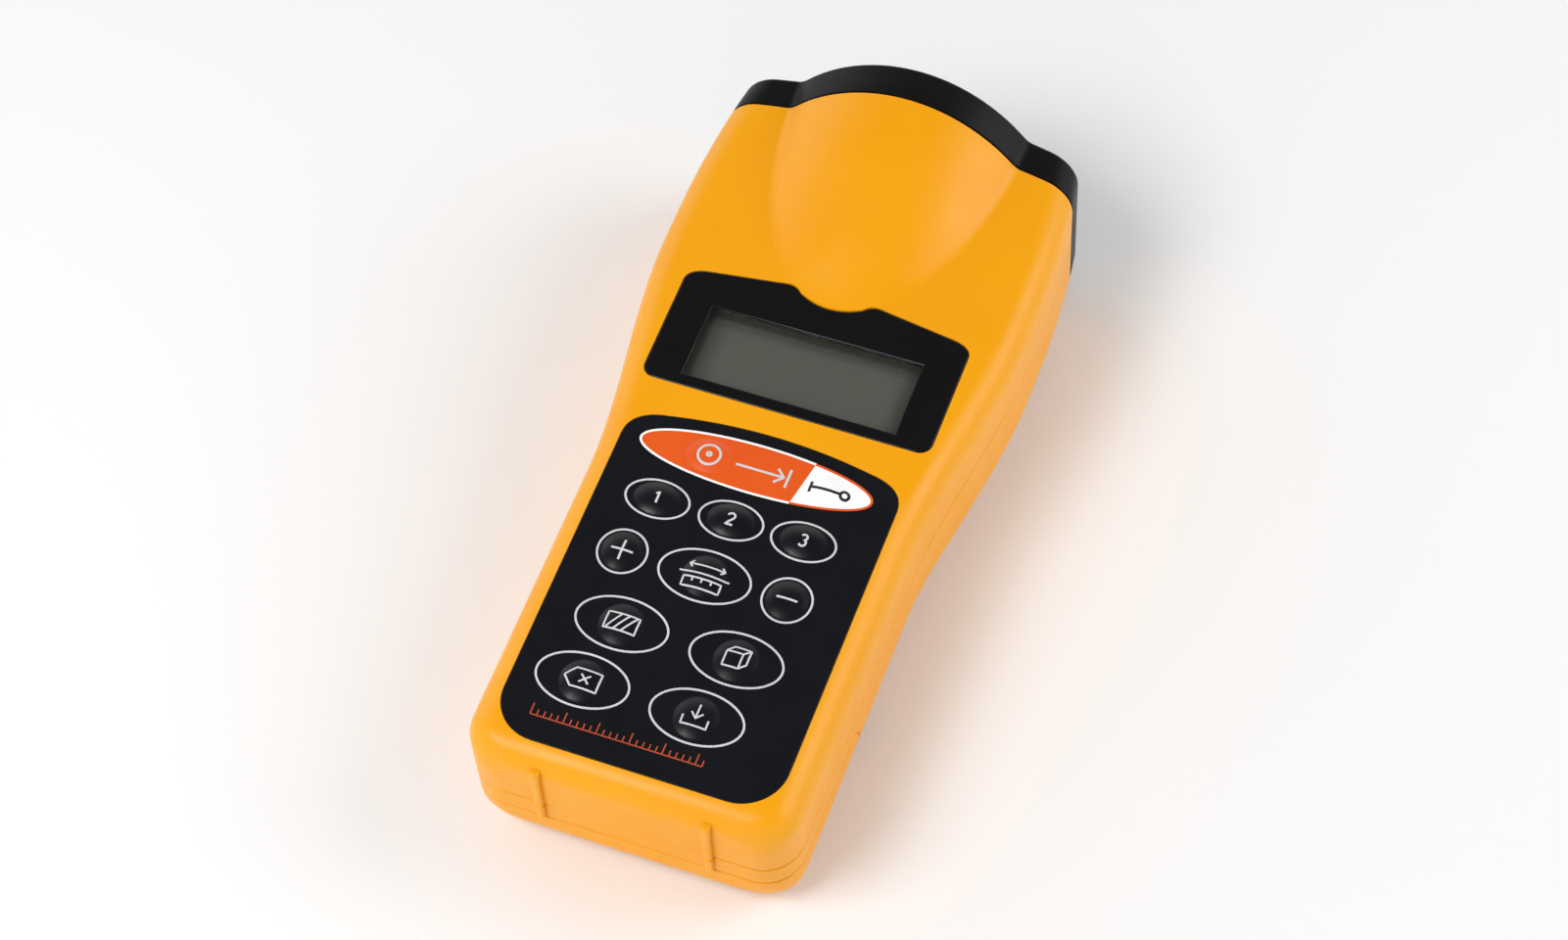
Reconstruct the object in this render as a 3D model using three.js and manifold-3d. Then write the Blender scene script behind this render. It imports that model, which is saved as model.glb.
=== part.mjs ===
// Hand-held ultrasonic distance meter with a laser pointer: a two-shell body with a battery door, a black
// nose cap with a horn, a display, a membrane keypad and the electronics behind them.
// Millimetres. +Z out of the keypad face, +Y towards the nose, +X to the right of a person reading the display.
// The origin is under the middle of the object, at its lowest point.
import * as THREE from "three";
import { mergeVertices } from "three/addons/utils/BufferGeometryUtils.js";
import { ParametricGeometry } from "three/addons/geometries/ParametricGeometry.js";
import Module from "manifold-3d";

const wasm = await Module();
wasm.setup();

// Driving dimensions
const LENGTH = 160; // over the tail ribs and the middle of the nose
const FACE_Z = 37.6; // keypad face above the lowest point of the nose
const PARTING_Z = 23.2; // split between the front and rear shells
const WALL = 2.2;
const SEAM = 0.25; // gap left between neighbouring pieces
const GAP = 0.1; // air between stacked pieces inside

// Body skin
const RIB_PROUD = 0.95;
const RIB = { x: 16.1, half: 0.9, low: 18.6, high: 35.2 };
const TAIL_Y = -LENGTH / 2 + RIB_PROUD;
const NOSE_Y = LENGTH / 2;
const HALF_WAIST = 31.3; // half-width along the keypad
const SHOULDER = 5.5; // how much wider the nose half is, on each side
const TAIL_CORNER = 7.6;
const TAIL_TOP_FILLET = 5;
const TAIL_BACK_FILLET = 5.2;
const FACE_FILLET = 5.6;
const BACK_FILLET = 5;
const BACK_Z = 9.5; // back of the grip
const BACK_DROP = 2.6; // how far the back steps down towards the nose
const CORNER_STEPS = 4;

// Nose: both surfaces of the cap are parabolas in plan, y = middle - bow * x * x
const CAP_REAR = 72.7;
const CAP_REAR_BOW = 0.0032;
const CAP_FRONT_BOW = 0.0037;
const CAP_WALL = 2.4;
const NOSE_LOW = 0; // lowest point of the nose
const HORN_R = 19.05;
const HORN_Z = 24;
const THROAT_Y = 41.2;
const THROAT_R = 7.6;
const SENSOR_R = 8;
const LASER = { x: -25.5, z: 22.5, bore: 1.4, barrel: 3.2, lensY: 72.4 };

// Swelling over the horn: half an ellipse in plan, arcs across
const HUMP_R = 31.15;
const HUMP_HALF = 22.9;
const HUMP_LONG = 48.5;
const HUMP_Y = 77.2;
const BELLY_R = 69.4; // flatter arc of the underside
const BELLY_HALF = 31;

// Keypad overlay and display window, both let into the face
const OVERLAY = { half: 26.9, bottom: -74.4, side: -9.7, shoulder: -3.5, top: -1.6, thick: 0.4 };
const OVERLAY_CORNER = 8.5;
const OVERLAY_TOP_CORNER = 7.3;
const WINDOW = { half: 28.4, bottom: 3.7, side: 26.2, top: 31.7, thick: 1.2, corner: 2.6 };
const WINDOW_BROW = { x: 24.5, y: 29.3, pull: 28.7 }; // inner end of the upper corners
const WINDOW_DIP = { start: 9.6, crest: 7.6, rim: 6.2, depth: 1.6, low: 28.4 }; // clears the swelling
const LCD = { y: 14.2, half: 21.05, halfTall: 8 };
const LCD_GLASS = { half: 23, halfTall: 10.3, low: 33.4, high: 35.2 };

// Electronics
const PCB = { half: 23.2, rear: -73, front: 27.2, low: 30.5, high: 32.1 };
const BATTERY = { x: 48.5, y: 26.5, z: 17.5, centreX: -3, centreY: -59.4 };
const BATTERY_LOW = BACK_Z + WALL + 0.2;

// Keys: legend name, centre and half-axes of the raised dome
const KEY_PROUD = 0.75;
const KEY_CLEAR = 0.25;
const STEM_LOW = 34.55;
const ROUND = 4.35;
const KEYS = [
  { name: "measure", x: -9.6, y: -9.3, a: 4.7, b: 3.7 },
  { name: "laser", x: 13.6, y: -9.3, a: 4.2, b: 3.1 },
  { name: "memory_1", x: -15.3, y: -21, a: 4.7, b: 3.5 },
  { name: "memory_2", x: -0.95, y: -21, a: 4.7, b: 3.5 },
  { name: "memory_3", x: 13.1, y: -21, a: 4.7, b: 3.5 },
  { name: "plus", x: -17.3, y: -33.4, a: 4.1, b: 4.1 },
  { name: "unit", x: -1.3, y: -33.5, a: ROUND, b: ROUND },
  { name: "minus", x: 14.5, y: -33.4, a: 4.1, b: 4.1 },
  { name: "area", x: -11.8, y: -47.7, a: ROUND, b: ROUND },
  { name: "volume", x: 10.2, y: -47.9, a: ROUND, b: ROUND },
  { name: "clear", x: -14.2, y: -60.6, a: ROUND, b: ROUND },
  { name: "store", x: 7.7, y: -61, a: ROUND, b: ROUND },
];

// Battery door and the screws that hold the shells together
const DOOR_FRONT = -43.7;
const DOOR_TOP = 18;
const DOOR_CHAMFER = 1.8;
const BULKHEAD = { behindDoor: 1.2, thick: 1.4 };
const TRAY_LEG = { x: 28.9, half: 0.6 };
const SCREW_HEAD_R = 2.3;
const SCREW_SHAFT_R = 1.15;
const POST_R = 2.9;
const CASE_SCREWS = [
  { name: "tail_left", x: -26.4, y: -37.5 },
  { name: "tail_right", x: 26.4, y: -37.5 },
  { name: "nose_left", x: -31, y: 50 },
  { name: "nose_right", x: 31, y: 50 },
];
const BOARD_SCREWS = [
  { name: "left", x: -20.6, y: -26.8 },
  { name: "right", x: 20.6, y: -26.8 },
];

const YELLOW = new THREE.MeshStandardMaterial({ color: 0xf5a814, roughness: 0.5, metalness: 0 });
const NOSE_BLACK = new THREE.MeshStandardMaterial({ color: 0x232325, roughness: 0.55, metalness: 0 });
const PRINT_BLACK = new THREE.MeshStandardMaterial({ color: 0x15151a, roughness: 0.35, metalness: 0 });
const GLOSS_BLACK = new THREE.MeshStandardMaterial({ color: 0x0b0b0d, roughness: 0.08, metalness: 0 });
const RUBBER = new THREE.MeshStandardMaterial({ color: 0x1a1a1a, roughness: 0.9, metalness: 0 });
const LCD_GREY = new THREE.MeshStandardMaterial({ color: 0x6b6f68, roughness: 0.15, metalness: 0 });
const BOARD = new THREE.MeshStandardMaterial({ color: 0x1e5b34, roughness: 0.45, metalness: 0 });
const STEEL = new THREE.MeshStandardMaterial({ color: 0xb4b6b8, roughness: 0.35, metalness: 1 });
const ALUMINIUM = new THREE.MeshStandardMaterial({ color: 0xc8cacc, roughness: 0.3, metalness: 1 });
const BRASS = new THREE.MeshStandardMaterial({ color: 0xb58b3c, roughness: 0.35, metalness: 1 });
const WHITE = new THREE.MeshStandardMaterial({ color: 0xe8e8e4, roughness: 0.5, metalness: 0 });
const CHIP = new THREE.MeshStandardMaterial({ color: 0x1c1c1e, roughness: 0.6, metalness: 0 });
const RED = new THREE.MeshStandardMaterial({ color: 0xb31b1b, roughness: 0.5, metalness: 0 });
const LENS = new THREE.MeshStandardMaterial({ color: 0xd9e6ee, roughness: 0.05, metalness: 0 });
const BATTERY_BLUE = new THREE.MeshStandardMaterial({ color: 0x2c3e66, roughness: 0.4, metalness: 0.2 });

const product = new THREE.Group();

// Solids ------------------------------------------------------------------------------------------------

// A manifold solid from any closed three.js geometry, with its faces turned outwards.
function solid(geometry) {
  const bare = new THREE.BufferGeometry();
  bare.setAttribute("position", geometry.getAttribute("position"));
  bare.setIndex(geometry.index);
  const merged = mergeVertices(bare, 1e-4);
  const corners = merged.index.array;
  const triangles = [];
  for (let i = 0; i < corners.length; i += 3) {
    const [a, b, c] = [corners[i], corners[i + 1], corners[i + 2]];
    if (a !== b && b !== c && c !== a) triangles.push(a, b, c);
  }
  const build = (triVerts) =>
    new wasm.Manifold(
      new wasm.Mesh({
        numProp: 3,
        vertProperties: merged.attributes.position.array,
        triVerts: new Uint32Array(triVerts),
      }),
    );
  const made = build(triangles);
  return made.volume() > 0 ? made : build(triangles.reverse());
}

function geometryOf(shape) {
  const mesh = shape.getMesh();
  const geometry = new THREE.BufferGeometry();
  geometry.setAttribute("position", new THREE.BufferAttribute(new Float32Array(mesh.vertProperties), 3));
  geometry.setIndex(new THREE.BufferAttribute(new Uint32Array(mesh.triVerts), 1));
  geometry.computeVertexNormals();
  return geometry;
}

function add(name, shape, material) {
  const mesh = new THREE.Mesh(geometryOf(shape), material.clone());
  mesh.name = name;
  product.add(mesh);
}

function box(x0, x1, y0, y1, z0, z1) {
  const geometry = new THREE.BoxGeometry(x1 - x0, y1 - y0, z1 - z0);
  return solid(geometry.translate((x0 + x1) / 2, (y0 + y1) / 2, (z0 + z1) / 2));
}

function upright(radius, x, y, z0, z1, sides = 20) {
  const geometry = new THREE.CylinderGeometry(radius, radius, z1 - z0, sides);
  return solid(geometry.rotateX(Math.PI / 2).translate(x, y, (z0 + z1) / 2));
}

function lengthwise(radius, x, z, y0, y1, sides = 24) {
  const geometry = new THREE.CylinderGeometry(radius, radius, y1 - y0, sides);
  return solid(geometry.translate(x, (y0 + y1) / 2, z));
}

// A plan outline pulled straight up from z0 to z1.
function prism(outline, z0, z1, curveSegments = 8) {
  const geometry = new THREE.ExtrudeGeometry(outline, { depth: z1 - z0, bevelEnabled: false, curveSegments });
  return solid(geometry.translate(0, 0, z0));
}

// A closed skin through rings of equal length, one ring to a station, with flat ends.
function loft(rings) {
  const count = rings[0].length;
  const middle = (ring) =>
    ring.reduce((sum, point) => sum.add(point), new THREE.Vector3()).divideScalar(ring.length);
  const closing = (ring) => ring.map(() => middle(ring));
  const stations = [closing(rings[0]), ...rings, closing(rings[rings.length - 1])];
  const last = stations.length - 1;
  const surface = (u, v, target) =>
    target.copy(stations[Math.round(v * last)][Math.round(u * count) % count]);
  return solid(new ParametricGeometry(surface, count, last));
}

function smoothstep(from, to, value) {
  const t = THREE.MathUtils.clamp((value - from) / (to - from), 0, 1);
  return t * t * (3 - 2 * t);
}

// How much a fillet of the given radius has taken off at a distance from the end it rounds.
function eased(radius, distance) {
  const left = Math.max(0, radius - distance);
  return radius - Math.sqrt(radius * radius - left * left);
}

// Body skin ---------------------------------------------------------------------------------------------

function halfWidth(y) {
  const taper = Math.max(0, y - 45) / 24.6;
  return HALF_WAIST + SHOULDER * smoothstep(-17, 37, y) - 1.7 * taper * taper;
}

function backZ(y) {
  return BACK_Z - BACK_DROP * smoothstep(-19, 12, y) - 0.5 * smoothstep(12, 70, y);
}

// One ring of the body, a rectangle with four rounded corners, inset all round.
function bodyRing(y, inset) {
  const fromTail = Math.max(0, y - TAIL_Y - inset);
  const half = halfWidth(y) - inset - eased(TAIL_CORNER - inset, fromTail);
  const top = FACE_Z - inset - eased(TAIL_TOP_FILLET - inset, fromTail);
  const low = backZ(y) + inset + eased(TAIL_BACK_FILLET - inset, fromTail);
  const upper = FACE_FILLET - inset;
  const lower = BACK_FILLET - inset;
  const corners = [
    { x: half - upper, z: top - upper, radius: upper },
    { x: upper - half, z: top - upper, radius: upper },
    { x: lower - half, z: low + lower, radius: lower },
    { x: half - lower, z: low + lower, radius: lower },
  ];
  const ring = [];
  corners.forEach((corner, quarter) => {
    for (let step = 0; step <= CORNER_STEPS; step++) {
      const angle = (quarter + step / CORNER_STEPS) * (Math.PI / 2);
      const x = corner.x + corner.radius * Math.cos(angle);
      ring.push(new THREE.Vector3(x, y, corner.z + corner.radius * Math.sin(angle)));
    }
  });
  return ring;
}

function bodyLoft(inset, front) {
  const start = TAIL_Y + inset;
  const rounded = [0, 0.3, 1.1, 2.4, 4.3, TAIL_CORNER].map((step) => start + step);
  const grip = [-45, -19];
  const flare = [-11, -3, 5, 13, 21, 29, 37, 45, 53, 61, 69, front];
  return loft([...rounded, ...grip, ...flare].map((y) => bodyRing(y, inset)));
}

// The swelling over the horn, or the flatter one below it: each section is a slice off a circle.
function swellingLoft(radius, half, inset, faceZ, side) {
  const steps = 9;
  const arcSteps = 10;
  const rings = [];
  for (let i = 0; i <= steps; i++) {
    const along = (i / steps) * (Math.PI / 2);
    const y = HUMP_Y - HUMP_LONG * Math.cos(along) + (i === 0 ? 0.05 : 0);
    const reach = i === 0 ? half * Math.sqrt(1 - ((HUMP_Y - y) / HUMP_LONG) ** 2) : half * Math.sin(along);
    rings.push(swellingRing(y, reach, radius, inset, faceZ, side, arcSteps));
  }
  rings.push(swellingRing(NOSE_Y + 5, half, radius, inset, faceZ, side, arcSteps));
  return loft(rings);
}

function swellingRing(y, reach, radius, inset, faceZ, side, arcSteps) {
  const rise = radius - Math.sqrt(radius * radius - reach * reach);
  const centreZ = faceZ + side * (rise - radius);
  const inner = radius - inset;
  const open = Math.asin(reach / radius);
  const deep = faceZ - side * (WALL + 3);
  const ring = [];
  for (let i = 0; i <= arcSteps; i++) {
    const angle = open * (1 - (2 * i) / arcSteps);
    ring.push(new THREE.Vector3(inner * Math.sin(angle), y, centreZ + side * inner * Math.cos(angle)));
  }
  ring.push(new THREE.Vector3(-inner * Math.sin(open), y, deep));
  ring.push(new THREE.Vector3(inner * Math.sin(open), y, deep));
  return ring;
}

function skin(inset) {
  const bellyFace = NOSE_LOW + BELLY_R - Math.sqrt(BELLY_R ** 2 - BELLY_HALF ** 2);
  return bodyLoft(inset, NOSE_Y + 5)
    .add(swellingLoft(HUMP_R, HUMP_HALF, inset, FACE_Z + 0.4, 1))
    .add(swellingLoft(BELLY_R, BELLY_HALF, inset, bellyFace, -1));
}

// Everything behind the parabola y = middle - bow * x * x.
function behind(middle, bow) {
  const reach = 45;
  const edge = middle - bow * reach * reach;
  const outline = new THREE.Shape();
  outline.moveTo(-reach, -NOSE_Y - 10);
  outline.lineTo(reach, -NOSE_Y - 10);
  outline.lineTo(reach, edge);
  outline.quadraticCurveTo(0, 2 * middle - edge, -reach, edge);
  outline.closePath();
  return prism(outline, -10, 70, 16);
}

// Outlines of what is let into the face -------------------------------------------------------------------

function overlayOutline(grow = 0) {
  const half = OVERLAY.half + grow;
  const bottom = OVERLAY.bottom - grow;
  const corner = OVERLAY_CORNER + grow;
  const topCorner = OVERLAY_TOP_CORNER + grow;
  const outline = new THREE.Shape();
  outline.moveTo(corner - half, bottom);
  outline.lineTo(half - corner, bottom);
  outline.absarc(half - corner, bottom + corner, corner, -Math.PI / 2, 0, false);
  outline.lineTo(half, OVERLAY.side);
  outline.quadraticCurveTo(half, OVERLAY.shoulder + grow - 1, half - topCorner, OVERLAY.shoulder + grow);
  outline.quadraticCurveTo(0, 2 * OVERLAY.top - OVERLAY.shoulder + grow, topCorner - half, OVERLAY.shoulder + grow);
  outline.quadraticCurveTo(-half, OVERLAY.shoulder + grow - 1, -half, OVERLAY.side);
  outline.lineTo(-half, bottom + corner);
  outline.absarc(corner - half, bottom + corner, corner, Math.PI, 1.5 * Math.PI, false);
  return outline;
}

function windowOutline(grow = 0) {
  const half = WINDOW.half + grow;
  const bottom = WINDOW.bottom - grow;
  const corner = WINDOW.corner + grow;
  const { start, crest, rim, depth, low } = WINDOW_DIP;
  const crestY = WINDOW.top + grow;
  const startY = crestY - 0.3;
  const rimY = crestY - depth;
  const outline = new THREE.Shape();
  outline.moveTo(corner - half, bottom);
  outline.lineTo(half - corner, bottom);
  outline.absarc(half - corner, bottom + corner, corner, -Math.PI / 2, 0, false);
  outline.lineTo(half, WINDOW.side);
  outline.quadraticCurveTo(half, WINDOW_BROW.pull + grow, WINDOW_BROW.x, WINDOW_BROW.y + grow);
  outline.lineTo(start, startY);
  outline.quadraticCurveTo(crest, crestY, rim, rimY);
  outline.quadraticCurveTo(0, 2 * (low + grow) - rimY, -rim, rimY);
  outline.quadraticCurveTo(-crest, crestY, -start, startY);
  outline.lineTo(-WINDOW_BROW.x, WINDOW_BROW.y + grow);
  outline.quadraticCurveTo(-half, WINDOW_BROW.pull + grow, -half, WINDOW.side);
  outline.lineTo(-half, bottom + corner);
  outline.absarc(corner - half, bottom + corner, corner, Math.PI, 1.5 * Math.PI, false);
  return outline;
}

function keyHole(key, z0, z1) {
  const outline = new THREE.Shape();
  outline.absellipse(key.x, key.y, key.a + KEY_CLEAR, key.b + KEY_CLEAR, 0, 2 * Math.PI, false, 0);
  return prism(outline, z0, z1, 9);
}

// Shells ------------------------------------------------------------------------------------------------

const outer = skin(0);
const cavity = skin(WALL);
const shellFront = behind(CAP_REAR - SEAM / 2, CAP_REAR_BOW);
const below = (z) => box(-60, 60, -120, 120, -20, z);
const above = (z) => box(-60, 60, -120, 120, z, 80);

function ribs(z0, z1) {
  const rib = (x) => box(x - RIB.half, x + RIB.half, TAIL_Y - RIB_PROUD, TAIL_Y + 1, z0, z1);
  return rib(-RIB.x).add(rib(RIB.x));
}

function screwHole(screw, z0, z1) {
  return upright(SCREW_SHAFT_R + 0.3, screw.x, screw.y, z0, z1, 12);
}

function frontCase() {
  const faceFloor = FACE_Z - OVERLAY.thick - 0.05;
  const windowFloor = FACE_Z - WINDOW.thick - 0.05;
  let shape = outer.intersect(shellFront).intersect(above(PARTING_Z + SEAM / 2)).subtract(cavity);
  shape = shape.add(ribs(PARTING_Z + SEAM / 2, RIB.high));
  shape = shape.subtract(prism(overlayOutline(0.15), faceFloor, FACE_Z + 1));
  shape = shape.subtract(prism(windowOutline(0.15), windowFloor, FACE_Z + 1));
  shape = shape.subtract(
    box(-LCD.half - 1, LCD.half + 1, LCD.y - LCD.halfTall - 1, LCD.y + LCD.halfTall + 1, 30, FACE_Z + 1),
  );
  KEYS.forEach((key) => {
    shape = shape.subtract(keyHole(key, 30, FACE_Z + 1));
  });
  CASE_SCREWS.forEach((screw) => {
    shape = shape.add(upright(POST_R, screw.x, screw.y, PARTING_Z + 0.4, FACE_Z - WALL + 0.2));
    shape = shape.subtract(screwHole(screw, PARTING_Z - 1, 32));
  });
  BOARD_SCREWS.forEach((screw) => {
    shape = shape.add(upright(2.2, screw.x, screw.y, PCB.high + GAP, FACE_Z - WALL + 0.2, 16));
    shape = shape.subtract(screwHole(screw, 30, 35.6));
  });
  return shape;
}

// The part of the body that the battery door takes with it, with sloping front corners.
function doorRegion(grow) {
  const outline = new THREE.Shape();
  const front = DOOR_FRONT + grow;
  const top = DOOR_TOP + grow;
  outline.moveTo(-100, -20);
  outline.lineTo(front, -20);
  outline.lineTo(front, top - DOOR_CHAMFER);
  outline.lineTo(front - DOOR_CHAMFER, top);
  outline.lineTo(-100, top);
  outline.closePath();
  const geometry = new THREE.ExtrudeGeometry(outline, { depth: 120, bevelEnabled: false });
  // The outline is drawn in y and z, then stood up across the body.
  geometry.applyMatrix4(new THREE.Matrix4().makeBasis(
    new THREE.Vector3(0, 1, 0),
    new THREE.Vector3(0, 0, 1),
    new THREE.Vector3(1, 0, 0),
  ));
  return solid(geometry.translate(-60, 0, 0));
}

function rearCase() {
  let shape = outer.intersect(shellFront).intersect(below(PARTING_Z - SEAM / 2)).subtract(cavity);
  shape = shape.add(ribs(RIB.low, PARTING_Z - SEAM / 2));
  shape = shape.subtract(doorRegion(SEAM));
  // Bulkhead in front of the battery and the tray that keeps it off the circuit board
  const bulkheadY = DOOR_FRONT + BULKHEAD.behindDoor;
  const joined = skin(WALL - 0.4).intersect(below(PARTING_Z - SEAM / 2));
  const inside = skin(WALL + SEAM).add(joined).intersect(below(PCB.low - GAP));
  const bulkhead = box(-40, 40, bulkheadY, bulkheadY + BULKHEAD.thick, 5, 60);
  const tray = box(-40, 40, -100, bulkheadY + 0.5, BATTERY_LOW + BATTERY.z + 0.2, 60);
  const leg = (x) => box(x - TRAY_LEG.half, x + TRAY_LEG.half, -90, bulkheadY + 0.5, DOOR_TOP + 0.5, 60);
  const trayParts = bulkhead.add(tray).add(leg(-TRAY_LEG.x)).add(leg(TRAY_LEG.x));
  shape = shape.add(inside.intersect(trayParts).intersect(behind(CAP_REAR, CAP_REAR_BOW)));
  CASE_SCREWS.forEach((screw) => {
    const floor = backZ(screw.y);
    shape = shape.add(upright(POST_R, screw.x, screw.y, floor + 1, PARTING_Z - SEAM / 2));
    shape = shape.subtract(screwHole(screw, -5, 60));
    shape = shape.subtract(upright(SCREW_HEAD_R + 0.3, screw.x, screw.y, -5, floor + 4.3));
  });
  return shape;
}

function batteryDoor() {
  return outer.intersect(doorRegion(0)).subtract(cavity).subtract(above(DOOR_TOP));
}

function noseCap() {
  const inside = cavity.intersect(behind(NOSE_Y - CAP_WALL, CAP_FRONT_BOW));
  return outer
    .intersect(behind(NOSE_Y, CAP_FRONT_BOW))
    .subtract(behind(CAP_REAR + SEAM / 2, CAP_REAR_BOW))
    .subtract(inside)
    .subtract(lengthwise(HORN_R, 0, HORN_Z, 60, 90, 48))
    .subtract(lengthwise(LASER.bore, LASER.x, LASER.z, 60, 90, 16));
}

// Nose parts --------------------------------------------------------------------------------------------

// A ring or cup turned about the horn's axis from a closed outline of [radius, y] pairs.
function turned(outline, sides = 40) {
  const points = [...outline, outline[0]].map(([radius, y]) => new THREE.Vector2(radius, y));
  return solid(new THREE.LatheGeometry(points, sides).translate(0, 0, HORN_Z));
}

function hornCone() {
  const mouthY = NOSE_Y - CAP_WALL - CAP_FRONT_BOW * 22 * 22 - 0.3;
  const collar = SENSOR_R + 1.2;
  return turned([
    [HORN_R + 0.1, mouthY],
    [21.4, mouthY],
    [21.4, mouthY - 1.4],
    [HORN_R + 1.4, mouthY - 1.4],
    [collar + 1.3, THROAT_Y + 1.4],
    [collar + 1.3, THROAT_Y - 10.5],
    [collar, THROAT_Y - 10.5],
    [collar, THROAT_Y - 0.2],
    [THROAT_R, THROAT_Y - 0.2],
    [THROAT_R, THROAT_Y + 0.6],
    [HORN_R + 0.1, mouthY - 3],
  ]);
}

function addNose() {
  add("nose_cap", noseCap(), NOSE_BLACK);
  add("horn_cone", hornCone(), NOSE_BLACK);
  const sensorFront = THROAT_Y - 0.5;
  add("ultrasonic_transducer", lengthwise(SENSOR_R, 0, HORN_Z, sensorFront - 11.5, sensorFront, 28), ALUMINIUM);
  add("transducer_screen", lengthwise(THROAT_R - 0.3, 0, HORN_Z, THROAT_Y - 0.3, THROAT_Y + 0.1, 28), STEEL);
  const gasket = [
    [SENSOR_R + 0.15, sensorFront - 8],
    [SENSOR_R + 1.05, sensorFront - 8],
    [SENSOR_R + 1.05, sensorFront - 1],
    [SENSOR_R + 0.15, sensorFront - 1],
  ];
  add("transducer_gasket", turned(gasket, 28), RUBBER);
  const { lensY } = LASER;
  const barrel = lengthwise(LASER.barrel, LASER.x, LASER.z, 56, lensY + 0.8, 20)
    .subtract(lengthwise(LASER.barrel - 0.9, LASER.x, LASER.z, lensY - 1.6, 90, 20));
  add("laser_barrel", barrel, BRASS);
  add("laser_lens", lengthwise(LASER.barrel - 1.05, LASER.x, LASER.z, lensY - 1.4, lensY, 20), LENS);
  const cradle = box(LASER.x - 4.6, LASER.x + 4.6, 59, 66, 9.5, LASER.z + 1)
    .subtract(lengthwise(LASER.barrel + 0.15, LASER.x, LASER.z, 50, 80, 20));
  add("laser_cradle", cradle, CHIP);
}

// Display and keypad ------------------------------------------------------------------------------------

function addDisplay() {
  add("display_window", prism(windowOutline(), FACE_Z - WINDOW.thick, FACE_Z), GLOSS_BLACK);
  const glass = LCD_GLASS;
  const slab = (grow, z0, z1) =>
    box(
      -glass.half - grow,
      glass.half + grow,
      LCD.y - glass.halfTall - grow,
      LCD.y + glass.halfTall + grow,
      z0,
      z1,
    );
  add("lcd_glass", slab(0, glass.low, glass.high), LCD_GREY);
  const frame = slab(1.2, PCB.high + GAP, glass.high - 0.2).subtract(slab(0.15, 20, 50));
  add("lcd_frame", frame, CHIP);
  [["rear", -1], ["front", 1]].forEach(([end, side]) => {
    const y = LCD.y + side * (glass.halfTall - 1.2);
    const strip = box(-glass.half + 1, glass.half - 1, y - 0.9, y + 0.9, PCB.high + GAP, glass.low - GAP);
    add(`lcd_connector_${end}`, strip, RUBBER);
  });
}

function keyCap(key) {
  const proud = FACE_Z + KEY_PROUD;
  const skirt = FACE_Z - WALL - 0.4;
  const points = [new THREE.Vector2(0, STEM_LOW), new THREE.Vector2(0.45, STEM_LOW)];
  points.push(new THREE.Vector2(0.45, skirt), new THREE.Vector2(1, skirt), new THREE.Vector2(1, FACE_Z));
  const domeSteps = 3;
  for (let i = 1; i < domeSteps; i++) {
    const t = i / domeSteps;
    points.push(new THREE.Vector2(1 - t, FACE_Z + (proud - FACE_Z) * (1 - (1 - t) ** 2)));
  }
  points.push(new THREE.Vector2(0, proud));
  const geometry = new THREE.LatheGeometry(points, 18).rotateX(Math.PI / 2);
  return solid(geometry.scale(key.a, key.b, 1).translate(key.x, key.y, 0));
}

function addKeypad() {
  let overlay = prism(overlayOutline(), FACE_Z - OVERLAY.thick, FACE_Z);
  KEYS.forEach((key) => {
    overlay = overlay.subtract(keyHole(key, 30, FACE_Z + 1));
  });
  add("keypad_overlay", overlay, PRINT_BLACK);
  KEYS.forEach((key) => {
    add(`key_${key.name}`, keyCap(key), PRINT_BLACK);
    const half = 2.6;
    const low = PCB.high + GAP;
    const can = box(key.x - half, key.x + half, key.y - half, key.y + half, low, low + 1.2);
    const button = upright(1.3, key.x, key.y, low + 1, low + 1.85, 12);
    add(`switch_${key.name}`, can.add(button), STEEL);
  });
}

// Circuit board, battery and fasteners ------------------------------------------------------------------

function addElectronics() {
  let board = box(-PCB.half, PCB.half, PCB.rear, PCB.front, PCB.low, PCB.high);
  BOARD_SCREWS.forEach((screw) => {
    board = board.subtract(screwHole(screw, 20, 40));
  });
  add("main_board", board, BOARD);
  const under = PCB.low - GAP;
  add("buzzer", upright(6, -9, -24, under - 5.5, under, 24), CHIP);
  add("processor", box(-4, 8, -2, 10, under - 1.6, under), CHIP);
  add("transformer", box(9, 19, 14, 24, under - 9, under), WHITE);
  add("crystal", box(-14, -3.5, 14.5, 18.5, under - 3.4, under), ALUMINIUM);
  add("capacitor", upright(3.2, 14, -12, under - 11, under, 20), BATTERY_BLUE);
}

function addBattery() {
  const { x, y, z, centreX, centreY } = BATTERY;
  const right = centreX + x / 2;
  const cell = box(centreX - x / 2, right, centreY - y / 2, centreY + y / 2, BATTERY_LOW, BATTERY_LOW + z);
  add("battery", cell, BATTERY_BLUE);
  const middleZ = BATTERY_LOW + z / 2;
  const snap = box(right + 0.3, right + 5.1, centreY - 12.5, centreY + 12.5, middleZ - 6, middleZ + 6);
  add("battery_snap", snap, CHIP);
  addLead("battery_lead_red", right + 5.9, -58, 24.5, RED);
  addLead("battery_lead_black", right + 5.9, -66, 27, RUBBER);
}

// A lead along the tray from the battery snap towards the circuit board.
function addLead(name, x, y, z, material) {
  const wireR = 0.55;
  const path = new THREE.CatmullRomCurve3([
    new THREE.Vector3(x, y, z - 4),
    new THREE.Vector3(x + 0.2, y, z - 1.4),
    new THREE.Vector3(x + 0.2, y + 2, z),
    new THREE.Vector3(x + 0.2, y + 12, z),
  ]);
  const outline = new THREE.Shape().absarc(0, 0, wireR, 0, 2 * Math.PI, false);
  const geometry = new THREE.ExtrudeGeometry(outline, { steps: 14, curveSegments: 5, extrudePath: path });
  add(name, solid(geometry), material);
}

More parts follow.
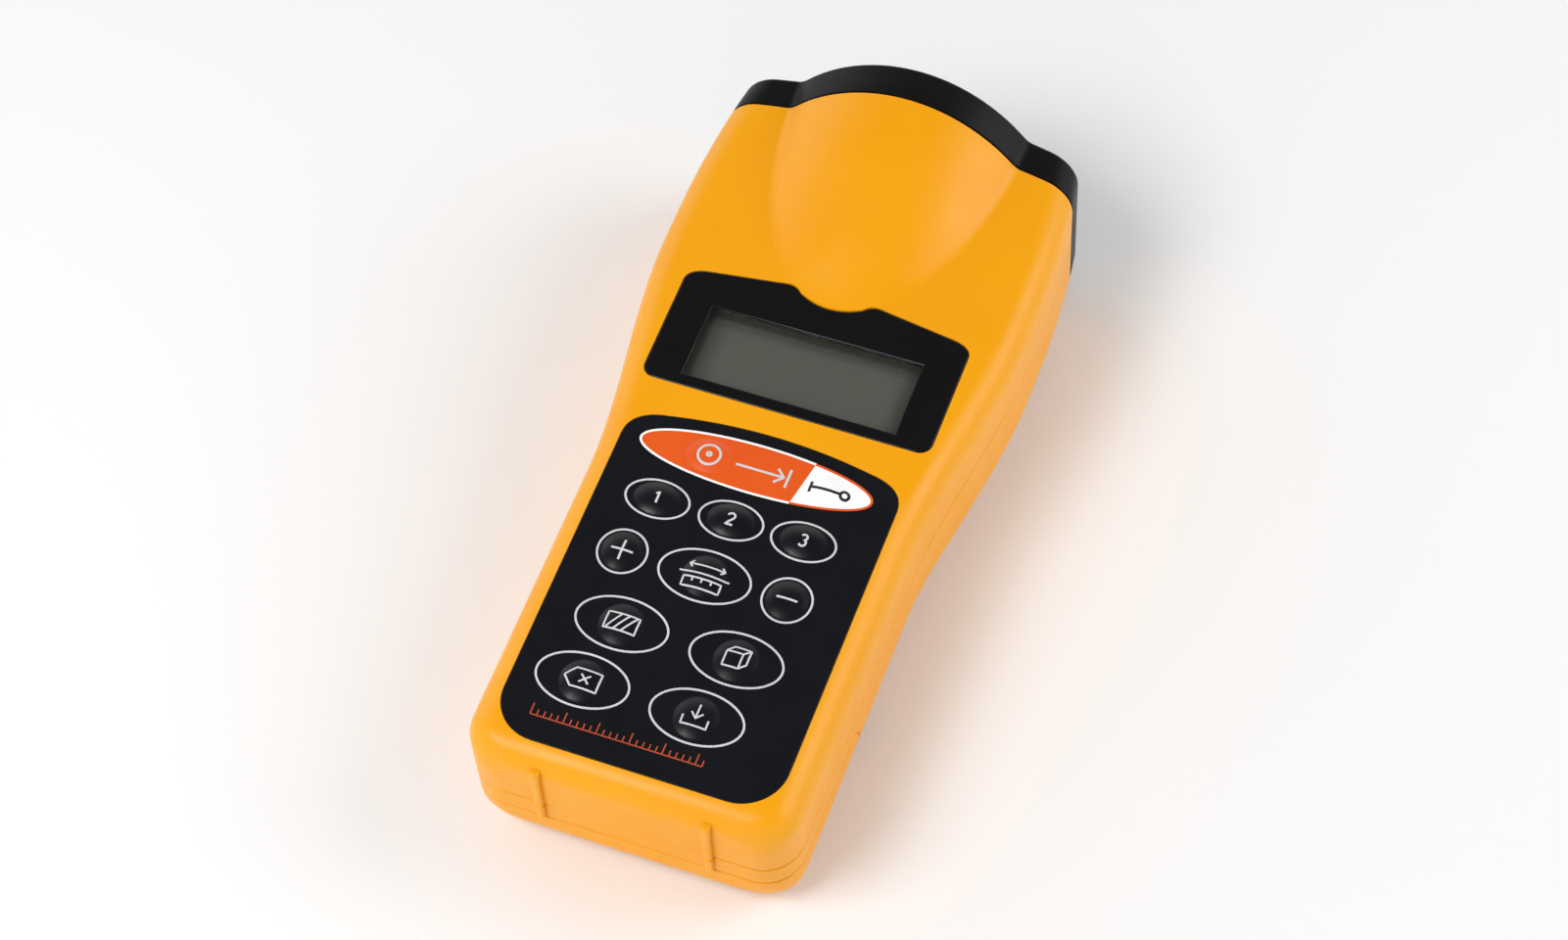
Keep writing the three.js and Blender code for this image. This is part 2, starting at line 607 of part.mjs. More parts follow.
function addFasteners() {
  CASE_SCREWS.forEach((screw) => {
    const headLow = backZ(screw.y) + 2.2;
    const head = upright(SCREW_HEAD_R, screw.x, screw.y, headLow, headLow + 1.8);
    const slot = box(screw.x - 1.3, screw.x + 1.3, screw.y - 0.3, screw.y + 0.3, headLow - 1, headLow + 0.8);
    const cross = box(screw.x - 0.3, screw.x + 0.3, screw.y - 1.3, screw.y + 1.3, headLow - 1, headLow + 0.8);
    const shaft = upright(SCREW_SHAFT_R, screw.x, screw.y, headLow + 1.5, 31, 12);
    add(`case_screw_${screw.name}`, head.subtract(slot).subtract(cross).add(shaft), STEEL);
  });
  BOARD_SCREWS.forEach((screw) => {
    const head = upright(1.9, screw.x, screw.y, PCB.low - 1.5, PCB.low - GAP, 14);
    const shaft = upright(SCREW_SHAFT_R, screw.x, screw.y, PCB.low - 0.5, 35, 12);
    add(`board_screw_${screw.name}`, head.add(shaft), STEEL);
  });
}

add("front_case", frontCase(), YELLOW);
add("rear_case", rearCase(), YELLOW);
add("battery_door", batteryDoor(), YELLOW);
addNose();
addDisplay();
addKeypad();
addElectronics();
addBattery();
addFasteners();

export default product;
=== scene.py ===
"""Looks of a hand-held ultrasonic distance meter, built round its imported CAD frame."""
import math

import bmesh
import bpy
import numpy as np
from mathutils import Matrix, Vector


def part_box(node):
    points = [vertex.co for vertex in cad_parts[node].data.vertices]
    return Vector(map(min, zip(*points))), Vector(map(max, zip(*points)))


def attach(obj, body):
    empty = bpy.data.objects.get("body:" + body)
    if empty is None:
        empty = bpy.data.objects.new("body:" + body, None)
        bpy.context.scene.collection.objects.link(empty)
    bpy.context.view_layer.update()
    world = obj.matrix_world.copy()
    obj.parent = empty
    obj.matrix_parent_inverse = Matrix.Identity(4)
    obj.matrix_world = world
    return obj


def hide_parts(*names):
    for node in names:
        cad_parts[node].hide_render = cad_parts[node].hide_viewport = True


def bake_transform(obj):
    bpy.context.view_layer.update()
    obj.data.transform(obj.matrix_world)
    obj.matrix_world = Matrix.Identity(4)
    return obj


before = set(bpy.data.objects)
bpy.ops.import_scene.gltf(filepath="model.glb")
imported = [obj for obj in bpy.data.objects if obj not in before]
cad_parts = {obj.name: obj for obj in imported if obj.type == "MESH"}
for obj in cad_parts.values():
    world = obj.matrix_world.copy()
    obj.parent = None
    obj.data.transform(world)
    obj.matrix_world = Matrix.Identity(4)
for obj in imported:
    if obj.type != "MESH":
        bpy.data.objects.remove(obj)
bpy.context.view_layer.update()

MM = 0.001


def cad_box(node):
    """Lowest and highest corner of a CAD node in millimetres."""
    low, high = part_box(node)
    return np.array(low) / MM, np.array(high) / MM


def centre_of(node):
    low, high = cad_box(node)
    return (low + high) / 2


# Places taken from the frame, in millimetres

OVERLAY_LOW, OVERLAY_HIGH = cad_box("keypad_overlay")
WINDOW_LOW, WINDOW_HIGH = cad_box("display_window")
DOOR_LOW, DOOR_HIGH = cad_box("battery_door")
BATTERY_LOW, BATTERY_HIGH = cad_box("battery")
SEAM = 0.25
WALL = 2.2
FACE_Z = OVERLAY_HIGH[2]
PARTING_Z = cad_box("front_case")[0][2] - SEAM / 2
TAIL_Y = DOOR_LOW[1]
NOSE_Y = cad_box("nose_cap")[1][1]
HALF_WAIST = DOOR_HIGH[0]
BACK_Z = DOOR_LOW[2]
DOOR_TOP = DOOR_HIGH[2]
DOOR_FRONT = DOOR_HIGH[1]
KEY_PROUD = cad_box("key_unit")[1][2] - FACE_Z

# Shape of the body skin, the same design as the CAD's, and of what is set into it

SHOULDER = 5.5
SHOULDER_FROM, SHOULDER_TO = -17, 37
TAPER = 1.7
TAPER_FROM = 45
TAPER_LONG = 24.6
BACK_DROP = 2.6
BACK_DROP_FROM, BACK_DROP_TO = -19, 12
BACK_SLOPE = 0.5
BACK_SLOPE_TO = 70
TAIL_CORNER = 7.6
TAIL_TOP_FILLET = 5.0
TAIL_BACK_FILLET = 5.2
FACE_FILLET = 5.6
BACK_FILLET = 5.0
CAP_REAR = 72.7
CAP_REAR_BOW = 0.0032
CAP_FRONT_BOW = 0.0037
CAP_WALL = 2.4
HUMP_R = 31.15
HUMP_HALF = 22.9
HUMP_LONG = 48.5
HUMP_Y = 77.2
HUMP_LIFT = 0.4
BELLY_R = 69.4
BELLY_HALF = 31.0
BELLY_MARGIN = 1.2
VALLEY = 1.2
LEAST_CREASE = 0.3
CREASE_PAST_TIP = 12
ARCH_MARGIN = 2
HORN_R = 19.05
HORN_Z = 24.0
EDGE_ROUND = 0.28
DOOR_CHAMFER = 1.8
APERTURE_HALF = 21.05
APERTURE_LOW = 6.2
APERTURE_HIGH = 22.2
WINDOW_CORNER = 2.6
RIB_X = 16.1
RIB_PROUD = 0.95
RIB_SUNK = 1.0
RIB_FOOT = 0.8
RIB_FLARE = 0.2
RIB_ROUND = 0.6
RIB_LOW = 18.6
RIB_HIGH = 35.2


def smoothstep(low, high, value):
    t = np.clip((value - low) / (high - low), 0, 1)
    return t * t * (3 - 2 * t)


def eased(radius, distance):
    """How much a fillet has taken off at a distance from the end it rounds."""
    left = np.clip(radius - distance, 0, radius)
    return radius - np.sqrt(np.maximum(radius ** 2 - left ** 2, 0))


def half_width(y):
    taper = np.maximum(0, y - TAPER_FROM) / TAPER_LONG
    return HALF_WAIST + SHOULDER * smoothstep(SHOULDER_FROM, SHOULDER_TO, y) - TAPER * taper ** 2


def back_z(y):
    drop = BACK_DROP * smoothstep(BACK_DROP_FROM, BACK_DROP_TO, y)
    return BACK_Z - drop - BACK_SLOPE * smoothstep(BACK_DROP_TO, BACK_SLOPE_TO, y)


def swelling(y, radius, half, lift):
    """Height of a swelling over the surface it grows from; negative short of its tip."""
    along = np.maximum(HUMP_Y - y, 0) / HUMP_LONG
    rise = radius - np.sqrt(radius ** 2 - half ** 2 * (1 - along ** 2))
    return rise + lift * smoothstep(HUMP_Y - HUMP_LONG, HUMP_Y, y)


def hump_height(y):
    return swelling(y, HUMP_R, HUMP_HALF, HUMP_LIFT)


def belly_height(y):
    nose_edge = BELLY_R - math.sqrt(BELLY_R ** 2 - BELLY_HALF ** 2)
    return swelling(y, BELLY_R, BELLY_HALF, 0) - (nose_edge - back_z(y))


def crease(height, radius, most):
    """Half-width at which a swelling meets the flat, mirrored past its tip to keep the grid open."""
    squared = radius ** 2 - (radius - height) ** 2
    return np.clip(np.sqrt(np.abs(squared)), LEAST_CREASE, most)


def smooth_max(a, b, width):
    near = np.maximum(width - np.abs(a - b), 0)
    return np.maximum(a, b) + near ** 2 / (4 * width)


# The skin is a grid: columns run round the section from the top middle to the bottom middle, rows from
# the tail to the nose. A column is (kind, value); a row is a nominal y.

PART_STEPS = (0.0, 0.09, 0.28)
TOP_Z = [PARTING_Z + SEAM / 2 + step for step in reversed(PART_STEPS)]
BELT_MIDDLE = [21.4, 20.0]
BELT_Z = (
    [PARTING_Z - SEAM / 2 - step for step in PART_STEPS]
    + BELT_MIDDLE
    + [DOOR_TOP + SEAM + step for step in reversed(PART_STEPS)]
)
DOOR_Z = [DOOR_TOP - step for step in PART_STEPS]


def spread(kind, count, first=False):
    """Evenly spaced columns of one kind, leaving out the first unless asked."""
    start = 0 if first else 1
    return [(kind, i / count) for i in range(start, count + 1)]


VALLEY_STEPS = [-0.75, -0.5, -0.25, 0.0, 0.25, 0.5, 0.75, 1.0]
TOP_COLUMNS = (
    spread("arch", 18, first=True)
    + [("valley", step) for step in VALLEY_STEPS]
    + spread("face", 8)
    + spread("shoulder", 16)[:-1]
    + [("side", z) for z in TOP_Z]
)
BELT_COLUMNS = [("side", z) for z in BELT_Z]
DOOR_COLUMNS = (
    [("side", z) for z in DOOR_Z]
    + spread("heel", 14)
    + spread("sole", 7)[:-1]
    + [("belly_valley", step) for step in reversed(VALLEY_STEPS)]
    + [("belly", 1 - i / 20) for i in range(21)]
)
COLUMNS = TOP_COLUMNS + BELT_COLUMNS + DOOR_COLUMNS
N_TOP = len(TOP_COLUMNS)
N_BELT = len(BELT_COLUMNS)


def side_x(z, half, low, upper, lower, top):
    """Half-width of the section at height z, on its straight side or in either fillet."""
    drop = np.clip(low + lower - z, 0, lower)
    rise = np.clip(z - (top - upper), 0, upper)
    return half - (lower - np.sqrt(lower ** 2 - drop ** 2)) - (upper - np.sqrt(upper ** 2 - rise ** 2))


def run(start_angle, radius, straight, share):
    """Follows an arc then a straight: how far round the arc in radians, and how far down the straight."""
    arc = radius * (math.pi / 2 - start_angle)
    along = share * (arc + straight)
    return start_angle + np.minimum(along, arc) / radius, np.maximum(along - arc, 0)


def section_point(column, y, from_tail, inset):
    """x and z of one column, for arrays of y, the distance from the tail and the inset from the skin."""
    kind, value = COLUMNS[column]
    half = half_width(y) - inset - eased(TAIL_CORNER - inset, from_tail)
    top = FACE_Z - inset - eased(TAIL_TOP_FILLET - inset, from_tail)
    low = back_z(y) + inset + eased(TAIL_BACK_FILLET - inset, from_tail)
    upper = FACE_FILLET - inset
    lower = BACK_FILLET - inset
    hump, belly = hump_height(y), belly_height(y)
    widest = half - lower - BELLY_MARGIN
    hump_edge = crease(hump, HUMP_R, np.where(hump > 0, HUMP_R, CREASE_PAST_TIP))
    belly_edge = crease(belly, BELLY_R, np.where(belly > 0, widest, CREASE_PAST_TIP))
    near = np.minimum(1.0, hump_edge / 2)
    if kind == "arch":
        x, z = (hump_edge - near) * value, top
    elif kind == "valley":
        x, z = hump_edge + near * value, top
    elif kind == "face":
        x, z = hump_edge + near + (half - upper - hump_edge - near) * value, top
    elif kind == "shoulder":
        angle, down = run(0, upper, top - upper - TOP_Z[0], value)
        x, z = half - upper + upper * np.sin(angle), top - upper + upper * np.cos(angle) - down
    elif kind == "side":
        x, z = side_x(value, half, low, upper, lower, top), value + 0 * y
    elif kind == "heel":
        start = np.arcsin(np.clip((low + lower - DOOR_Z[-1]) / lower, 0, 1))
        straight = np.maximum(DOOR_Z[-1] - low - lower, 0)
        back_share = lower * (math.pi / 2 - start) + straight
        along = value * back_share
        angle = start + np.maximum(along - straight, 0) / lower
        x = half - lower + lower * np.cos(angle)
        z = low + lower - lower * np.sin(angle) + np.maximum(straight - along, 0)
    elif kind == "sole":
        x, z = half - lower - (half - lower - belly_edge - near) * value, low
    elif kind == "belly_valley":
        x, z = belly_edge + near * value, low
    else:
        x, z = (belly_edge - near) * value, low
    if kind in ("arch", "valley", "face", "shoulder"):
        centre = FACE_Z + hump - HUMP_R
        arch = centre + np.sqrt(np.maximum((HUMP_R - inset) ** 2 - x ** 2, 0))
        z = np.where(x < HUMP_R - inset - ARCH_MARGIN, smooth_max(z, arch, VALLEY), z)
    if kind in ("heel", "sole", "belly_valley", "belly"):
        centre = back_z(y) - belly + BELLY_R
        arch = centre - np.sqrt((BELLY_R - inset) ** 2 - x ** 2)
        z = -smooth_max(-z, -arch, VALLEY)
    return x, z


HUMP_TIP = HUMP_Y - HUMP_LONG
BODY_END = CAP_REAR - SEAM / 2
TURN_STEPS = 10
DOOR_ROWS = [-68.0, -62.0, -56.0, -50.0] + [DOOR_FRONT - step for step in reversed(PART_STEPS)]
GRIP_FROM, GRIP_TO, GRIP_STEP = -39.0, 25.0, 3.2
GRIP_ROWS = [DOOR_FRONT + SEAM + step for step in PART_STEPS]
GRIP_ROWS += list(np.arange(GRIP_FROM, GRIP_TO, GRIP_STEP))
TIP_STEPS = (-2.4, -1.4, -0.7, -0.2, 0.3, 0.8, 1.5, 2.4, 3.6, 5.0, 7.0, 9.5, 12.5)
TIP_ROWS = [HUMP_TIP + step for step in TIP_STEPS]
NOSE_ROWS = [44.5, 48.0, 51.5, 55.0, 58.5, 62.0, 65.5, 69.0, 71.3]
END_ROWS = [BODY_END - step for step in reversed(PART_STEPS)]
TURN = np.linspace(0, math.pi / 2, TURN_STEPS + 1)
STRAIGHT_ROWS = DOOR_ROWS + GRIP_ROWS + TIP_ROWS + NOSE_ROWS + END_ROWS
ROW_Y = np.array([TAIL_Y] * len(TURN) + STRAIGHT_ROWS)
ROW_TURN = np.concatenate((TURN, np.full(len(STRAIGHT_ROWS), math.pi / 2)))
ON_TURN = np.arange(len(ROW_Y)) < len(TURN)
N_DOOR_ROWS = len(TURN) + len(DOOR_ROWS)
BOW_FROM, BOW_TO = 46, CAP_REAR - 2
LEAN_NONE, LEAN_FULL = 9, 1
BOWED = np.where(ON_TURN, 0, smoothstep(BOW_FROM, BOW_TO, ROW_Y) * CAP_REAR_BOW)
LEANING = np.where(ON_TURN, 0, smoothstep(LEAN_NONE, LEAN_FULL, abs(ROW_Y - DOOR_FRONT)))
FAR = 99.0
SETTLING = 4


def door_lean(z):
    """How far the door's front edge steps back towards the tail at its sloping corner."""
    rising = np.clip(z - (DOOR_TOP - DOOR_CHAMFER), 0, DOOR_CHAMFER)
    fading = np.clip((PARTING_Z - z) / (PARTING_Z - DOOR_TOP), 0, 1)
    return np.where(z > DOOR_TOP, DOOR_CHAMFER * fading, rising)


def skin_column(column, inset):
    """Points of one column for every row, inset from the skin by a distance for each row."""
    turned = (TAIL_CORNER - inset) * (1 - np.cos(ROW_TURN))
    from_tail = np.where(ON_TURN, turned, FAR)
    y = start = np.where(ON_TURN, TAIL_Y + inset + turned, ROW_Y)
    for _ in range(SETTLING):
        x, z = section_point(column, y, from_tail, inset)
        y = start - BOWED * x ** 2 - LEANING * door_lean(z)
    return np.stack((x, y, z), axis=-1)


# Mesh helpers

def placed(name, data):
    """A new object that is in the scene."""
    obj = bpy.data.objects.new(name, data)
    bpy.context.scene.collection.objects.link(obj)
    return obj


def new_object(name, vertices, faces):
    mesh = bpy.data.meshes.new(name)
    mesh.from_pydata([tuple(np.asarray(v) * MM) for v in vertices], [], faces)
    mesh.validate()
    mesh.update()
    return placed(name, mesh)


COARSE_MERGE = 0.004
FINE_MERGE = 0.002
TINY = 1e-6


def tidy(obj, merge=COARSE_MERGE):
    """Welds doubles, drops slivers and turns every face outwards."""
    work = bmesh.new()
    work.from_mesh(obj.data)
    bmesh.ops.remove_doubles(work, verts=work.verts, dist=merge * MM)
    bmesh.ops.dissolve_degenerate(work, edges=work.edges, dist=0.001 * MM)
    bmesh.ops.recalc_face_normals(work, faces=work.faces)
    work.to_mesh(obj.data)
    work.free()
    return obj


def shade(obj, angle=32):
    """Smooth shading that stays crisp on edges sharper than the angle, with flats kept flat."""
    obj.data.shade_smooth()
    obj.data.set_sharp_from_angle(angle=math.radians(angle))
    keep = obj.modifiers.new("flats", "WEIGHTED_NORMAL")
    keep.keep_sharp = True
    keep.mode = "FACE_AREA"
    return obj


def evaluated_mesh(obj):
    graph = bpy.context.evaluated_depsgraph_get()
    return bpy.data.meshes.new_from_object(obj.evaluated_get(graph))


def apply_modifiers(obj):
    mesh = evaluated_mesh(obj)
    obj.modifiers.clear()
    obj.data = mesh
    return obj


def boolean(obj, cutter, operation="DIFFERENCE"):
    step = obj.modifiers.new("cut", "BOOLEAN")
    step.object = cutter
    step.operation = operation
    step.solver = "EXACT"
    apply_modifiers(obj)
    bpy.data.objects.remove(cutter)
    return obj


def prism(name, outline, z0, z1):
    """A closed prism of a plan outline."""
    count = len(outline)
    vertices = [(x, y, z0) for x, y in outline] + [(x, y, z1) for x, y in outline]
    faces = [tuple(reversed(range(count))), tuple(range(count, 2 * count))]
    faces += [(i, (i + 1) % count, count + (i + 1) % count, count + i) for i in range(count)]
    return new_object(name, vertices, faces)


def block(name, low, high, bevel=0.0):
    (x0, y0, z0), (x1, y1, z1) = low, high
    obj = prism(name, [(x0, y0), (x1, y0), (x1, y1), (x0, y1)], z0, z1)
    return soften(obj, bevel) if bevel else obj


def soften(obj, width, segments=3, angle=40):
    step = obj.modifiers.new("soft", "BEVEL")
    step.width = width * MM
    step.segments = segments
    step.limit_method = "ANGLE"
    step.angle_limit = math.radians(angle)
    return apply_modifiers(obj)


def join(name, objects):
    work = bmesh.new()
    for obj in objects:
        work.from_mesh(obj.data)
        bpy.data.objects.remove(obj)
    mesh = bpy.data.meshes.new(name)
    work.to_mesh(mesh)
    work.free()
    return placed(name, mesh)


def arc(cx, cy, radius, start, end, count=8):
    """Points of an arc, angles in degrees, both ends included."""
    return [
        (cx + radius * math.cos(a), cy + radius * math.sin(a))
        for a in np.radians(np.linspace(start, end, count + 1))
    ]


def quad_curve(p0, p1, p2, count=10):
    """Points of a quadratic curve after its start."""
    points = []
    for t in np.linspace(0, 1, count + 1)[1:]:
        a, b, c = (1 - t) ** 2, 2 * t * (1 - t), t * t
        points.append((a * p0[0] + b * p1[0] + c * p2[0], a * p0[1] + b * p1[1] + c * p2[1]))
    return points


def ellipse(cx, cy, a, b, count=64):
    return [
        (cx + a * math.cos(angle), cy + b * math.sin(angle))
        for angle in np.linspace(0, 2 * math.pi, count, endpoint=False)
    ]


def plate(name, outlines, z0, z1, bevel):
    """A flat plate with rounded edges: the first outline is its edge, the others are holes."""
    curve = bpy.data.curves.new(name, "CURVE")
    curve.dimensions = "2D"
    curve.fill_mode = "BOTH"
    for outline in outlines:
        spline = curve.splines.new("POLY")
        spline.points.add(len(outline) - 1)
        for point, (x, y) in zip(spline.points, outline):
            point.co = (x * MM, y * MM, 0, 1)
        spline.use_cyclic_u = True
    curve.extrude = ((z1 - z0) / 2 - bevel) * MM
    curve.bevel_depth = bevel * MM
    curve.bevel_resolution = 2
    curve.offset = -bevel * MM
    shape = placed(name, curve)
    mesh = evaluated_mesh(shape)
    mesh.transform(Matrix.Translation((0, 0, (z0 + z1) / 2 * MM)))
    bpy.data.objects.remove(shape)
    return tidy(placed(name, mesh), FINE_MERGE)


def wrapped(rings, around):
    """Faces of a grid of rings that closes on itself both ways."""
    faces = []
    for a in range(rings):
        b = (a + 1) % rings
        for i in range(around):
            j = (i + 1) % around
            faces.append((a * around + i, a * around + j, b * around + j, b * around + i))
    return faces


def thicken(name, outer, inner, faces, merge):
    """A closed solid from a sheet of faces and its backing, which match point for point."""
    count = len(outer)
    uses = {}
    for face in faces:
        for a, b in zip(face, face[1:] + face[:1]):
            uses.setdefault(frozenset((a, b)), []).append((b, a))
    rims = [(a, b, b + count, a + count) for (a, b), *others in uses.values() if not others]
    backs = [tuple(i + count for i in reversed(face)) for face in faces]
    return tidy(new_object(name, outer + inner, faces + backs + rims), merge)


def lathe(name, profile, origin, axis, sides=96):
    """A closed solid turned about an axis from a closed profile of (radius, height along the axis)."""
    direction = np.array(axis, float)
    across = np.array([1.0, 0, 0]) if abs(direction[0]) < 0.5 else np.array([0, 1.0, 0])
    other = np.cross(direction, across)
    vertices = []
    for i in range(sides):
        angle = 2 * math.pi * i / sides
        out = across * math.cos(angle) + other * math.sin(angle)
        vertices += [np.array(origin) + out * r + direction * h for r, h in profile]
    return tidy(new_object(name, vertices, wrapped(sides, len(profile))))


# Materials

def srgb(red, green, blue):
    """Linear colour of an sRGB triple out of 255."""
    def linear(value):
        value /= 255
        return value / 12.92 if value <= 0.04045 else ((value + 0.055) / 1.055) ** 2.4
    return (linear(red), linear(green), linear(blue), 1.0)


class Nodes:
    """A short hand for building a node material."""

    def __init__(self, name):
        self.material = bpy.data.materials.new(name)
        self.material.use_nodes = True
        self.tree = self.material.node_tree
        self.tree.nodes.clear()
        self.output = self.tree.nodes.new("ShaderNodeOutputMaterial")
        self.place = self.make("ShaderNodeTexCoord").outputs["Object"]

    def make(self, kind, **inputs):
        node = self.tree.nodes.new(kind)
        for key, value in inputs.items():
            self.feed(node.inputs[key.replace("_", " ")], value)
        return node

    def feed(self, socket, value):
        if isinstance(value, bpy.types.NodeSocket):
            self.tree.links.new(value, socket)
        else:
            socket.default_value = value

    def noise(self, per_mm, detail=3.0, roughness=0.5):
        node = self.make("ShaderNodeTexNoise", Scale=per_mm / MM, Detail=detail, Roughness=roughness)
        self.feed(node.inputs["Vector"], self.place)
        return node.outputs["Fac"]

    def coordinate(self, axis):
        return self.make("ShaderNodeSeparateXYZ", Vector=self.place).outputs[axis]

    def patches(self, per_mm, low, high, detail=3.0, spread=0.2):
        """Noise stretched between two values."""
        return self.ramp(self.noise(per_mm, detail), low, high, 0.5 - spread, 0.5 + spread)

    def ramp(self, value, low, high, from_low=0.0, from_high=1.0):
        node = self.make("ShaderNodeMapRange")
        node.clamp = True
        names = ("Value", "From Min", "From Max", "To Min", "To Max")
        for key, given in zip(names, (value, from_low, from_high, low, high)):
            self.feed(node.inputs[key], given)
        return node.outputs["Result"]

    def math(self, operation, a, b=0.0):
        node = self.tree.nodes.new("ShaderNodeMath")
        node.operation = operation
        self.feed(node.inputs[0], a)
        self.feed(node.inputs[1], b)
        return node.outputs[0]

    def mix(self, share, a, b):
        node = self.tree.nodes.new("ShaderNodeMix")
        node.data_type = "RGBA"
        for place, given in ((0, share), (6, a), (7, b)):
            self.feed(node.inputs[place], given)
        return node.outputs[2]

    def bump(self, height, strength, depth_mm):
        node = self.make("ShaderNodeBump", Strength=strength, Distance=depth_mm * MM, Height=height)
        return node.outputs["Normal"]

    def principled(self, **inputs):
        node = self.make("ShaderNodeBsdfPrincipled", **inputs)
        self.tree.links.new(node.outputs[0], self.output.inputs["Surface"])
        return node


def moulded(name, colour, deeper, roughness, grain=3.0, grain_depth=0.012, wear=None, shine=0.5):
    """Moulded plastic: slow colour drift, a fine spark-eroded grain, uneven sheen and rubbed edges."""
    made = Nodes(name)
    base = made.mix(made.patches(0.035, 0, 1, 2), colour, deeper)
    if wear is not None:
        edge = made.ramp(made.make("ShaderNodeNewGeometry").outputs["Pointiness"], 0, 1, 0.53, 0.6)
        rubbed = made.math("MULTIPLY", edge, made.ramp(made.noise(0.5), 0, 0.6, 0.4, 0.7))
        base = made.mix(rubbed, base, wear)
    made.principled(
        Base_Color=base,
        Roughness=made.patches(0.12, roughness - 0.05, roughness + 0.06, 4),
        Normal=made.bump(made.noise(grain, 2, 0.6), 0.35, grain_depth),
        Specular_IOR_Level=shine,
    )
    return made.material


def metal(name, colour, roughness, brush=(1.0, 0.05, 1.0), grain=2.5):
    """Metal with a fine directional brush and blotched sheen."""
    made = Nodes(name)
    stretch = made.make("ShaderNodeMapping", Vector=made.place)
    stretch.inputs["Scale"].default_value = brush
    lines = made.make("ShaderNodeTexNoise", Scale=grain / MM, Detail=3.0, Vector=stretch.outputs[0])
    darker = tuple(share * 0.8 for share in colour[:3]) + (1,)
    made.principled(
        Base_Color=made.mix(made.patches(0.4, 0, 1), colour, darker),
        Metallic=1.0,
        Roughness=made.ramp(lines.outputs["Fac"], roughness - 0.08, roughness + 0.1),
        Normal=made.bump(lines.outputs["Fac"], 0.2, 0.01),
    )
    return made.material


def film(name, colour, roughness=0.3, drift=None, shine=0.5):
    """Printed film or lacquer: a flat colour under a faintly uneven clear surface."""
    made = Nodes(name)
    made.principled(
        Base_Color=made.mix(made.patches(0.06, 0, 1, 2, 0.15), colour, drift or colour),
        Specular_IOR_Level=shine,
        Roughness=made.patches(0.2, roughness - 0.02, roughness + 0.03, 4),
        Normal=made.bump(made.noise(2.6, 2), 0.1, 0.004),
    )
    return made.material


def clear_pane(name, tint):
    """Clear plastic as a thin pane: see-through, with a sharp reflection that grows at low angles."""
    made = Nodes(name)
    see = made.make("ShaderNodeBsdfTransparent", Color=tint)
    shine = made.make("ShaderNodeBsdfGlossy", Color=(1, 1, 1, 1), Roughness=0.03)
    outside = made.math("SUBTRACT", 1.0, made.make("ShaderNodeNewGeometry").outputs["Backfacing"])
    facing = made.math("MULTIPLY", made.make("ShaderNodeFresnel", IOR=1.45).outputs[0], outside)
    both = made.make("ShaderNodeMixShader")
    made.feed(both.inputs[0], facing)
    made.feed(both.inputs[1], see.outputs[0])
    made.feed(both.inputs[2], shine.outputs[0])
    made.tree.links.new(both.outputs[0], made.output.inputs["Surface"])
    return made.material


# How far in from each edge of its opening the display colour is painted darker, as painted shade of the rim
# above it.
LCD_SHADE = (
    ("X", -APERTURE_HALF, 5.0), ("X", APERTURE_HALF, -3.4),
    ("Y", APERTURE_LOW, 1.2), ("Y", APERTURE_HIGH, -3.0),
)


def liquid_crystal(name):
    """Grey-green display: lighter in the middle, painted darker towards its edges as painted shade of the
    rim round its well.
    """
    made = Nodes(name)
    light = made.ramp(made.noise(0.05, 2), 0.85, 1.0)
    # Each edge darkens the base colour over its depth: painted shade of the rim.
    for axis, edge, depth in LCD_SHADE:
        inward = made.ramp(made.coordinate(axis), 0.35, 1, edge * MM, (edge + depth) * MM)
        light = made.math("MULTIPLY", light, inward)
    made.principled(
        Base_Color=made.mix(light, srgb(32, 32, 30), srgb(95, 97, 89)),
        Roughness=0.24,
        Normal=made.bump(made.noise(5.0, 1), 0.1, 0.004),
    )
    return made.material


def board_material(name):
    """Solder mask over copper: green with lighter tracks running both ways."""
    made = Nodes(name)
    bricks = made.make("ShaderNodeTexBrick", Vector=made.place, Scale=0.35 / MM, Mortar_Size=0.03)
    tracks = bricks.outputs["Fac"]
    light = made.math("ADD", made.ramp(tracks, 0, 0.7), made.ramp(made.noise(0.3), 0, 0.3))
    made.principled(
        Base_Color=made.mix(light, srgb(20, 84, 44), srgb(46, 130, 70)),
        Roughness=made.ramp(made.coordinate("Z"), 0.25, 0.35),
        Normal=made.bump(tracks, 0.4, 0.03),
    )
    return made.material


def battery_jacket(name):
    """Lacquered jacket: a gold end, a near-black rest and a thin bright line where they meet."""
    made = Nodes(name)
    gold_share = 0.3
    meeting = (BATTERY_LOW[0] + (BATTERY_HIGH[0] - BATTERY_LOW[0]) * gold_share) * MM
    x = made.coordinate("X")
    dark_end = made.math("GREATER_THAN", x, meeting)
    from_meeting = made.math("ABSOLUTE", made.math("SUBTRACT", x, meeting))
    line = made.math("LESS_THAN", from_meeting, 0.5 * MM)
    base = made.mix(dark_end, srgb(176, 150, 92), srgb(30, 34, 44))
    made.principled(
        Base_Color=made.mix(line, base, srgb(210, 210, 206)),
        Metallic=made.ramp(dark_end, 0.8, 0.0),
        Roughness=made.patches(0.2, 0.26, 0.38, 4),
        Normal=made.bump(made.noise(1.0, 2), 0.12, 0.01),
    )
    return made.material


def mesh_screen(name):
    """Woven steel screen."""
    made = Nodes(name)
    pitch = 0.7 * MM
    waves = [
        made.math("SINE", made.math("MULTIPLY", made.coordinate(axis), 2 * math.pi / pitch))
        for axis in ("X", "Z")
    ]
    weave = made.math("MULTIPLY", *waves)
    made.principled(
        Base_Color=made.mix(made.ramp(weave, 0, 1, -0.3, 0.3), srgb(60, 60, 62), srgb(190, 190, 192)),
        Metallic=0.9,
        Roughness=0.4,
        Normal=made.bump(weave, 0.8, 0.1),
    )
    return made.material


